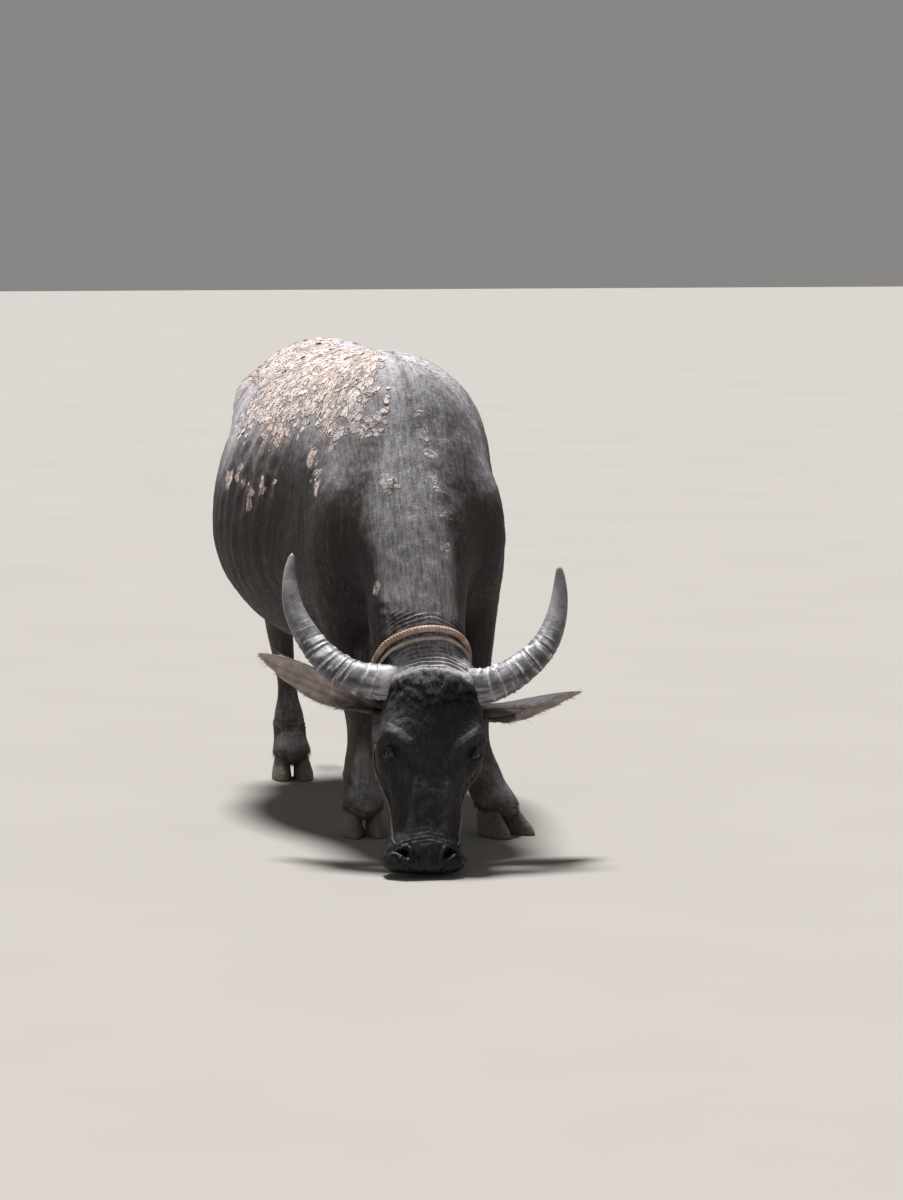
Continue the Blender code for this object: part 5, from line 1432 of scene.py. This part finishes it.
coat_material = make_coat("coarse_short_hair", 0.30)
surface = read_points(hide.data)
body = surface - WITHERS
view = head_view(surface)
is_head = ramp(view[:, 1] - 3.0 * view[:, 0] ** 2, 0.03, 0.06) * (body[:, 1] < -0.30) * (view[:, 2] > -0.34)
bare = np.maximum.reduce([bump(surface, eye_at[-1], 0.022), bump(surface, eye_at[1], 0.022),
                          hide_marks["snout"] * (view[:, 2] > -0.13)])
zones = [
    ("coat_barrel", (body[:, 1] > 0.05) * (body[:, 2] > 0.5) * (1 - 0.75 * hide_marks["mud"]), 12000, 0.018, 0.0010, 0.18),
    ("coat_back", (body[:, 1] > -0.1) * ramp(body[:, 2], 1.05, 1.2) * (1 - 0.6 * hide_marks["mud"]), 9000, 0.022, 0.0011, 0.28),
    ("coat_neck", (body[:, 1] <= 0.08) * (1 - is_head) * (body[:, 2] > 0.42), 11000, 0.020, 0.0010, 0.20),
    ("coat_legs", (body[:, 2] <= 0.55) * (1 - is_head) * (body[:, 2] > 0.085), 9000, 0.013, 0.0010, 0.20),
    ("coat_coronet", ramp(body[:, 2], 0.045, 0.060) * (body[:, 2] < 0.100), 4200, 0.024, 0.0012, 0.16),
    ("coat_face", is_head * np.clip(1 - bare, 0, 1), 10000, 0.0090, 0.0008, 0.18),
]
for name, weight, count, length, width, rise in zones:
    roots, normals = roots_on(hide.data, weight + 1e-9, count)
    lengths = length * draw.uniform(0.6, 1.25, count)
    coat = tufts(name, roots, normals, lie_of(roots), lengths, width, rise, rise * 0.8, 0.16, 3)
    coat.data.materials.append(coat_material)
    print(name, triangles(coat), "triangles")

# %% [markdown]
# ## Forelock, ear hair and chin
# Between the horns the hair is long enough to hang in dark tufts over the forehead. The
# ears carry a pale fringe on both edges and in the cup, and a few bristles stand on the
# chin. The same tuft maker does all of these with other lengths and directions.

# %% Grow the longer hair of the head
black_material = make_coat("forelock_hair_black", 0.06)
share = 1

bowed = view[:, 1] - 3.0 * view[:, 0] ** 2
top = ramp(bowed, 0.034, 0.050) * (1 - ramp(view[:, 1], 0.12, 0.20)) * (1 - ramp(np.abs(view[:, 0]), 0.10, 0.125))
top = top * (view[:, 2] > -0.05)
roots, normals = roots_on(hide.data, top + 1e-9, 4600 // share)
spot = head_view(roots)
lie = AXES[:, 1][None] * 1.0 + AXES[:, 0][None] * (spot[:, :1] * 2.2) + draw.normal(0, 0.22, (len(roots), 3))
lengths = draw.uniform(0.012, 0.026, len(roots)) * (1.1 - 0.4 * ramp(spot[:, 1], 0.05, 0.16))
forelock = tufts("forelock", roots, normals, lie, lengths, 0.0015, 0.14, 0.14, 0.30, 4)
give(forelock.data, "dark", np.ones(len(forelock.data.vertices)))
give(forelock.data, "dust_and_painted_light", np.zeros(len(forelock.data.vertices)))
forelock.data.materials.append(black_material)
print("forelock", triangles(forelock), "triangles")

fringe_material = make_coat("ear_fringe_hair_pale", 0.85)
for side, ear in ears.items():
    axis, opening = ear_opening(side)
    root, tip = EAR_ENDS[side]
    length = np.linalg.norm(tip - root)
    mesh = ear.data
    normals_here = read_points(mesh, "normal")
    along = (read_points(mesh) - root) @ axis / length
    rim = np.exp(-(np.abs(normals_here @ opening) / 0.30) ** 2) * ramp(along, 0.22, 0.36)
    cup = ramp(normals_here @ opening, 0.2, 0.7) * ramp(along, 0.16, 0.3) * (1 - ramp(along, 0.75, 0.95)) * 0.20
    back = ramp(-(normals_here @ opening), 0.0, 0.4) * 0.25
    roots, normals = roots_on(mesh, rim + cup + back + 1e-9, 4400 // share)
    where = (roots - root) @ axis / length
    edge = np.exp(-(np.abs(normals @ opening) / 0.30) ** 2)
    lengths = draw.uniform(0.010, 0.026, len(roots)) * (0.45 + 0.75 * edge)
    lie = axis[None] * 0.9 + normals * 0.2 + draw.normal(0, 0.15, (len(roots), 3))
    word = "right" if side < 0 else "left"
    fringe = tufts(f"ear_hair_{word}", roots, normals, lie, lengths, 0.0010, 0.20 + 0.45 * edge, 0.15, 0.2)
    fringe.data.materials.append(fringe_material)
    print(fringe.name, triangles(fringe), "triangles")

chin = ramp(view[:, 1], 0.36, 0.43) * (view[:, 2] < -0.115) * (view[:, 1] < 0.56) * is_head
roots, normals = roots_on(hide.data, chin + 1e-9, 900 // share)
lie = AXES[:, 1][None] * 0.8 - AXES[:, 2][None] * 0.8 + draw.normal(0, 0.15, (len(roots), 3))
bristles = tufts("chin_bristles", roots, normals, lie, draw.uniform(0.008, 0.018, len(roots)), 0.0009, 0.6, 0.2)
bristles.data.materials.append(coat_material)

# %% [markdown]
# ## Tail switch
# The tail ends in a switch of long, coarse black hair. The hairs grow all round the last
# hand's breadth of the tail and hang straight down, so each lock is a long tuft whose
# bends are pulled toward the hanging line.

# %% Hang the tail switch
def hang(centre, roots, t):
    """Pulls a lock from where it grows to where it would hang."""
    fall = np.array((0, 0, -1.0))
    base = WITHERS[:2] + np.array((0.022, 1.303))
    flat = roots[:, :2] - base
    spread_out = flat * (1 + 0.9 * t * (1 - t) * 2) * (1 - 0.45 * t)
    hung = np.column_stack([base + spread_out, roots[:, 2]])
    return hung + fall * ((roots[:, 2] - centre[:, 2])[:, None])


tail_weight = (body[:, 1] > 1.26) * (1 - ramp(body[:, 2], 0.60, 0.68)) * (body[:, 2] < 0.68) + 0.0
roots, normals = roots_on(hide.data, tail_weight + 1e-12, 2600 // share)
low = WITHERS[2] + 0.335
lengths = (roots[:, 2] - low) * draw.uniform(0.55, 0.98, len(roots))
fall = np.tile(np.array((0, 0, -1.0)), (len(roots), 1)) + draw.normal(0, 0.03, (len(roots), 3))
switch = tufts("tail_switch", roots, normals, fall, lengths, 0.0024, 0.0, 0.0, 0.02, 9, 0.001, hang)
switch.data.materials.append(black_material)
print("switch", triangles(switch), "triangles")

# %% [markdown]
# ## Flakes of dried mud
# At the edges of the crust the mud breaks into loose plates that stand off the hide.
# Scattering is what Geometry Nodes do best: points on the muddy skin, a few plate shapes
# picked at random, laid on the surface and tilted a little.

# %% Scatter the flakes
def new_tree(name, inputs):
    tree = bpy.data.node_groups.new(name, "GeometryNodeTree")
    tree.interface.new_socket("Geometry", in_out="INPUT", socket_type="NodeSocketGeometry")
    for title, kind in inputs:
        tree.interface.new_socket(title, in_out="INPUT", socket_type=kind)
    tree.interface.new_socket("Geometry", in_out="OUTPUT", socket_type="NodeSocketGeometry")
    return tree, add(tree, "NodeGroupInput").outputs


def finish_tree(tree, geometry, material):
    real = add(tree, "GeometryNodeRealizeInstances", {0: geometry})
    dressed = add(tree, "GeometryNodeSetMaterial", {"Geometry": real.outputs[0], "Material": material})
    add(tree, "NodeGroupOutput", {0: dressed.outputs[0]})


def run_tree(item, tree, values):
    """Puts the tree on the item, sets its inputs by their identifiers and bakes it."""
    modifier = item.modifiers.new(tree.name, "NODES")
    modifier.node_group = tree
    for socket in tree.interface.items_tree:
        if socket.in_out == "INPUT" and socket.name in values:
            modifier[socket.identifier] = values[socket.name]
    return baked(item)


def make_mud():
    material, tree, shader, place = new_material("dried_mud_plates", 0.93, Specular_IOR_Level=0.2)
    cloud = speckle(tree, place, 0.012, 4)
    tone = mix(tree, spread(tree, cloud, 0.3, 0.7), colour("#ab9b95"), colour("#ddd0ca"))
    tree.links.new(tone, shader.inputs["Base Color"])
    tree.links.new(relief(tree, cloud, 0.0010, 0.8), shader.inputs["Normal"])
    return material


mud_material = make_mud()
tree, given = new_tree("mud_flakes", [("Per square metre", "NodeSocketFloat"), ("Flake size", "NodeSocketFloat"),
                                      ("Seed", "NodeSocketInt")])
shapes = []
for k in range(5):
    ring = add(tree, "GeometryNodeMeshCircle", {"Vertices": 5 + k % 3, "Radius": 0.5}, fill_type="NGON")
    jitter = add(tree, "FunctionNodeRandomValue", {0: (-0.24, -0.24, -0.03), 1: (0.24, 0.24, 0.06), "Seed": 40 + k},
                 data_type="FLOAT_VECTOR")
    bent = add(tree, "GeometryNodeSetPosition", {"Geometry": ring.outputs[0], "Offset": jitter.outputs[0]})
    thick = add(tree, "GeometryNodeExtrudeMesh", {"Mesh": bent.outputs[0], "Offset Scale": 0.07})
    shapes.append(add(tree, "GeometryNodeGeometryToInstance", {0: thick.outputs[0]}).outputs[0])
gathered = add(tree, "GeometryNodeJoinGeometry")
for shape in reversed(shapes):
    tree.links.new(shape, gathered.inputs[0])
dense = add(tree, "GeometryNodeInputNamedAttribute", {"Name": "flaky"}, data_type="FLOAT").outputs[0]
per_area = add(tree, "ShaderNodeMath", {0: dense, 1: given["Per square metre"]}, operation="MULTIPLY").outputs[0]
scatter = add(tree, "GeometryNodeDistributePointsOnFaces",
              {"Mesh": given["Geometry"], "Density": per_area, "Seed": given["Seed"]}, distribute_method="RANDOM")
size = add(tree, "FunctionNodeRandomValue", {2: 0.35, 3: 1.35, "Seed": 5}, data_type="FLOAT").outputs[1]
size = add(tree, "ShaderNodeMath", {0: size, 1: given["Flake size"]}, operation="MULTIPLY").outputs[0]
tilt = add(tree, "FunctionNodeRandomValue", {0: (-0.22, -0.22, 0), 1: (0.22, 0.22, 6.28), "Seed": 6},
           data_type="FLOAT_VECTOR").outputs[0]
turned = add(tree, "FunctionNodeRotateRotation", {0: scatter.outputs["Rotation"], 1: tilt}, rotation_space="LOCAL")
laid = add(tree, "GeometryNodeInstanceOnPoints",
           {"Points": scatter.outputs[0], "Instance": gathered.outputs[0], "Pick Instance": True,
            "Rotation": turned.outputs[0], "Scale": size})
finish_tree(tree, laid.outputs[0], mud_material)

mud_edge = np.exp(-((hide_marks["mud"] - 0.50) / 0.30) ** 2) * (hide_marks["mud"] > 0.12)
flakes = piece("mud_flakes", hide.data.copy(), smooth=False)
give(flakes.data, "flaky", (mud_edge + 0.06 * (hide_marks["mud"] > 0.6)) * (1 - 0.6 * hide_marks["neck"]))
run_tree(flakes, tree, {"Per square metre": 1900.0, "Flake size": 0.0135, "Seed": 3})
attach(flakes, "root")
print("flakes", triangles(flakes), "triangles")

# %% [markdown]
# ## Rope collar and nose rope
# The collar is a thick three-strand rope with a thin cord in front of it, and a thin cord
# runs up each cheek from the nostril. A rope is strands wound round a line, which is a
# rule that Geometry Nodes follow well: the line is resampled, each strand circles it, and
# the numbers along and round a strand are kept for its fibres.

# %% A tree that twists strands
def make_rope(name, dark, light, worn):
    """Twisted plant fibre: matte, with fine lines that run along each strand."""
    material, tree, shader, place = new_material(name, 0.86, Specular_IOR_Level=0.25)
    along = maths(tree, "MULTIPLY", marking(tree, "along"), 260.0)
    round_it = maths(tree, "MULTIPLY", marking(tree, "around"), 9.0)
    spot = add(tree, "ShaderNodeCombineXYZ", {0: along, 1: round_it}).outputs[0]
    slanted = add(tree, "ShaderNodeMapping", {"Vector": spot, "Rotation": (0, 0, 0.5), "Scale": (0.35, 2.2, 1)})
    fibre = add(tree, "ShaderNodeTexNoise", {"Vector": slanted.outputs[0], "Scale": 1.6, "Detail": 4.0}).outputs[0]
    cloud = speckle(tree, place, 0.030, 3)
    tone = mix(tree, spread(tree, fibre, 0.3, 0.7), colour(dark), colour(light))
    tone = mix(tree, spread(tree, cloud, 0.45, 0.7, 0.0, 0.7), tone, colour(worn))
    tree.links.new(tone, shader.inputs["Base Color"])
    tree.links.new(relief(tree, fibre, 0.0008, 0.9), shader.inputs["Normal"])
    return material


def rope_tree(name, strands, material):
    tree, given = new_tree(name, [("Lay radius", "NodeSocketFloat"), ("Strand radius", "NodeSocketFloat"),
                                  ("Turns", "NodeSocketFloat"), ("Points", "NodeSocketInt")])
    line = add(tree, "GeometryNodeMeshToCurve", {0: given["Geometry"]}).outputs[0]
    fine = add(tree, "GeometryNodeResampleCurve", {"Curve": line, "Count": given["Points"]}).outputs[0]
    part = add(tree, "GeometryNodeSplineParameter").outputs
    normal = add(tree, "GeometryNodeInputNormal").outputs[0]
    tangent = add(tree, "GeometryNodeInputTangent").outputs[0]
    third = add(tree, "ShaderNodeVectorMath", {0: tangent, 1: normal}, operation="CROSS_PRODUCT").outputs[0]
    gathered = add(tree, "GeometryNodeJoinGeometry")
    for k in range(strands):
        wind = maths(tree, "MULTIPLY", maths(tree, "MULTIPLY", part["Factor"], given["Turns"]), 2 * math.pi)
        wind = maths(tree, "ADD", wind, 2 * math.pi * k / strands)
        first = add(tree, "ShaderNodeVectorMath", {0: normal, "Scale": maths(tree, "COSINE", wind)}, operation="SCALE")
        second = add(tree, "ShaderNodeVectorMath", {0: third, "Scale": maths(tree, "SINE", wind)}, operation="SCALE")
        both = add(tree, "ShaderNodeVectorMath", {0: first.outputs[0], 1: second.outputs[0]}, operation="ADD")
        offset = add(tree, "ShaderNodeVectorMath", {0: both.outputs[0], "Scale": given["Lay radius"]}, operation="SCALE")
        wound = add(tree, "GeometryNodeSetPosition", {"Geometry": fine, "Offset": offset.outputs[0]}).outputs[0]
        kept = add(tree, "GeometryNodeStoreNamedAttribute",
                   {"Geometry": wound, "Name": "along", "Value": part["Length"]}, data_type="FLOAT", domain="POINT")
        profile = add(tree, "GeometryNodeCurvePrimitiveCircle", {"Resolution": 10, "Radius": given["Strand radius"]})
        around = add(tree, "GeometryNodeStoreNamedAttribute",
                     {"Geometry": profile.outputs[0], "Name": "around", "Value": part["Factor"]},
                     data_type="FLOAT", domain="POINT")
        strand = add(tree, "GeometryNodeCurveToMesh", {"Curve": kept.outputs[0], "Profile Curve": around.outputs[0],
                                                       "Fill Caps": True})
        tree.links.new(strand.outputs[0], gathered.inputs[0])
    finish_tree(tree, gathered.outputs[0], material)
    return tree


# %% Lay the ropes on the hide
hide_tree = BVHTree.FromPolygons(read_points(hide.data).tolist(), [tuple(p.vertices) for p in hide.data.polygons])


def ring_line(crest, under, lift, count=96):
    """Points round the neck in the plane through a crest point and a throat point."""
    top = Vector(WITHERS + np.array((-0.022, *crest)))
    low = Vector(WITHERS + np.array((-0.022, *under)))
    centre = (top + low) / 2
    up = (top - low).normalized()
    found = []
    for k in range(count):
        turn = 2 * math.pi * k / count
        direction = Vector((1, 0, 0)) * math.cos(turn) + up * math.sin(turn)
        hit = hide_tree.ray_cast(centre, direction)[0]
        found.append(hit + direction * lift)
    edges = np.array([(k, (k + 1) % count) for k in range(count)])
    return relax(np.array(found), edges, 0.5, 6), edges


CHEEK_ROUTE = [(0.074, 0.488, -0.030), (0.092, 0.452, -0.048), (0.100, 0.395, -0.062), (0.112, 0.335, -0.080),
               (0.126, 0.275, -0.102), (0.134, 0.215, -0.130), (0.134, 0.155, -0.172), (0.130, 0.100, -0.202),
               (0.126, 0.070, -0.212)]


def cheek_line(side, lift):
    found = []
    for _, down, out in smooth_line(CHEEK_ROUTE, 8):
        target = Vector(on_head(0, down, out - 0.02))
        start = Vector(on_head(side * 0.30, down, out + 0.02))
        direction = (target - start).normalized()
        hit = hide_tree.ray_cast(start, direction)[0]
        found.append(hit - direction * lift)
    nostril = NOSTRIL_AT[side] - AXES @ np.array((side * -0.004, 0.012, 0.004))
    found = [Vector(nostril)] + found
    edges = np.array([(k, k + 1) for k in range(len(found) - 1)])
    line = np.array(found)
    relaxed = relax(line, edges, 0.5, 8)
    relaxed[0], relaxed[-1] = line[0], line[-1]
    return relaxed, edges


collar_material = make_rope("collar_rope_coir", "#75584a", "#b89a89", "#cdbfb7")
pale_material = make_rope("pale_cord_cotton", "#a2968c", "#d2c8bf", "#7a6f67")
cheek_material = make_rope("cheek_cord_grey", "#37312e", "#8d837b", "#a1988f")
ring_top, ring_low = ((-0.484, 0.592), (-0.288, 0.372)), ((-0.492, 0.572), (-0.296, 0.352))
ropes = [
    ("collar_rope_twisted", "collar_rope", *ring_line(*ring_top, 0.0100), 3, 0.0043, 0.0046, 34, 620, collar_material,
     "collar_rope"),
    ("collar_cord_twisted", "collar_cord", *ring_line(*ring_low, 0.0062), 3, 0.0025, 0.0027, 52, 620, pale_material,
     "pale_rope"),
    ("nose_cord_right", "nose_rope_right", *cheek_line(-1, 0.0042), 2, 0.0013, 0.0016, 60, 420, cheek_material,
     "pale_rope"),
    ("nose_cord_left", "nose_rope_left", *cheek_line(1, 0.0042), 2, 0.0013, 0.0016, 60, 420, cheek_material,
     "pale_rope"),
]
for name, node, line, edges, strands, lay, thick, turns, count, material, slot in ropes:
    mesh = bpy.data.meshes.new(name)
    mesh.from_pydata(line.tolist(), edges.tolist(), [])
    rope = piece(name, mesh)
    tree = rope_tree(name + "_tree", strands, material)
    run_tree(rope, tree, {"Lay radius": lay, "Strand radius": thick, "Turns": float(turns), "Points": count})
    rope.data.polygons.foreach_set("use_smooth", np.ones(len(rope.data.polygons), bool))
    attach(rope, "root")
    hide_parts(node)
    print(rope.name, triangles(rope), "triangles", *np.round(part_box(node), 3).tolist(),
          read_points(rope.data).min(0).round(3), read_points(rope.data).max(0).round(3))

# %% [markdown]
# ## Floor, light and camera
# The studio is as plain as can be: a pale floor, one soft sun high above and behind the
# back, and weak light from all sides. The camera stands where the photographer stood, ten
# metres ahead and a little to the animal's right, with a long lens.

# %% Studio
floor_mesh = bpy.data.meshes.new("floor")
floor_mesh.from_pydata([(-60, -60, 0), (60, -60, 0), (60, 60, 0), (-60, 60, 0)], [], [(0, 1, 2, 3)])
floor = piece("floor", floor_mesh, smooth=False)
floor_material, floor_tree, floor_shader, floor_place = new_material("studio_floor_matt_paint", 0.95)
dapple = speckle(floor_tree, floor_place, 0.8, 2)
floor_tree.links.new(mix(floor_tree, dapple, colour("#7f7b76"), colour("#86827d")), floor_shader.inputs["Base Color"])
floor.data.materials.append(floor_material)
floor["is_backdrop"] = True

world = bpy.data.worlds.new("studio")
bpy.context.scene.world = world
world.use_nodes = True
background = world.node_tree.nodes["Background"]
background.inputs[0].default_value = colour("#dcdad8")
background.inputs[1].default_value = 0.34


def area_light(name, place, target, size, power):
    lamp = bpy.data.lights.new(name, "AREA")
    lamp.shape = "DISK"
    lamp.size = size
    lamp.energy = power
    item = bpy.data.objects.new(name, lamp)
    bpy.context.scene.collection.objects.link(item)
    item.location = place
    item.rotation_mode = "QUATERNION"
    item.rotation_quaternion = (Vector(target) - Vector(place)).to_track_quat("-Z", "Y")


SUN_FROM = (-0.2, 2.1, 5.6)
sun = bpy.data.lights.new("high_sun", "SUN")
sun.energy = 8.8
sun.angle = math.radians(11)
sun_item = bpy.data.objects.new("high_sun", sun)
bpy.context.scene.collection.objects.link(sun_item)
sun_item.rotation_mode = "QUATERNION"
sun_item.rotation_quaternion = Vector(SUN_FROM).to_track_quat("Z", "Y")
area_light("front_fill", (-3.2, -6.0, 2.6), (0, -0.3, 0.7), 3.0, 22)

camera = bpy.data.cameras.new("camera")
camera_item = bpy.data.objects.new("camera", camera)
bpy.context.scene.collection.objects.link(camera_item)
camera.sensor_width = 36.0
camera.lens = 3766 / 1200 * 36.0
camera.clip_end = 300
azimuth, tilt = math.radians(12.9), math.radians(6.06)
ahead = Vector((math.sin(azimuth) * math.cos(tilt), math.cos(azimuth) * math.cos(tilt), -math.sin(tilt)))
camera_item.location = Vector(WITHERS + np.array((-2.089, -9.771, 1.68)))
camera_item.rotation_mode = "QUATERNION"
camera_item.rotation_quaternion = ahead.to_track_quat("-Z", "Y")
bpy.context.scene.camera = camera_item
bpy.context.scene.view_settings.view_transform = "Standard"

# %% Measure the box and finish
low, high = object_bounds()
total = sum(triangles(o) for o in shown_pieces() if o.type == "MESH")
print("visual box", [round(v, 3) for v in high - low], "triangles", total)
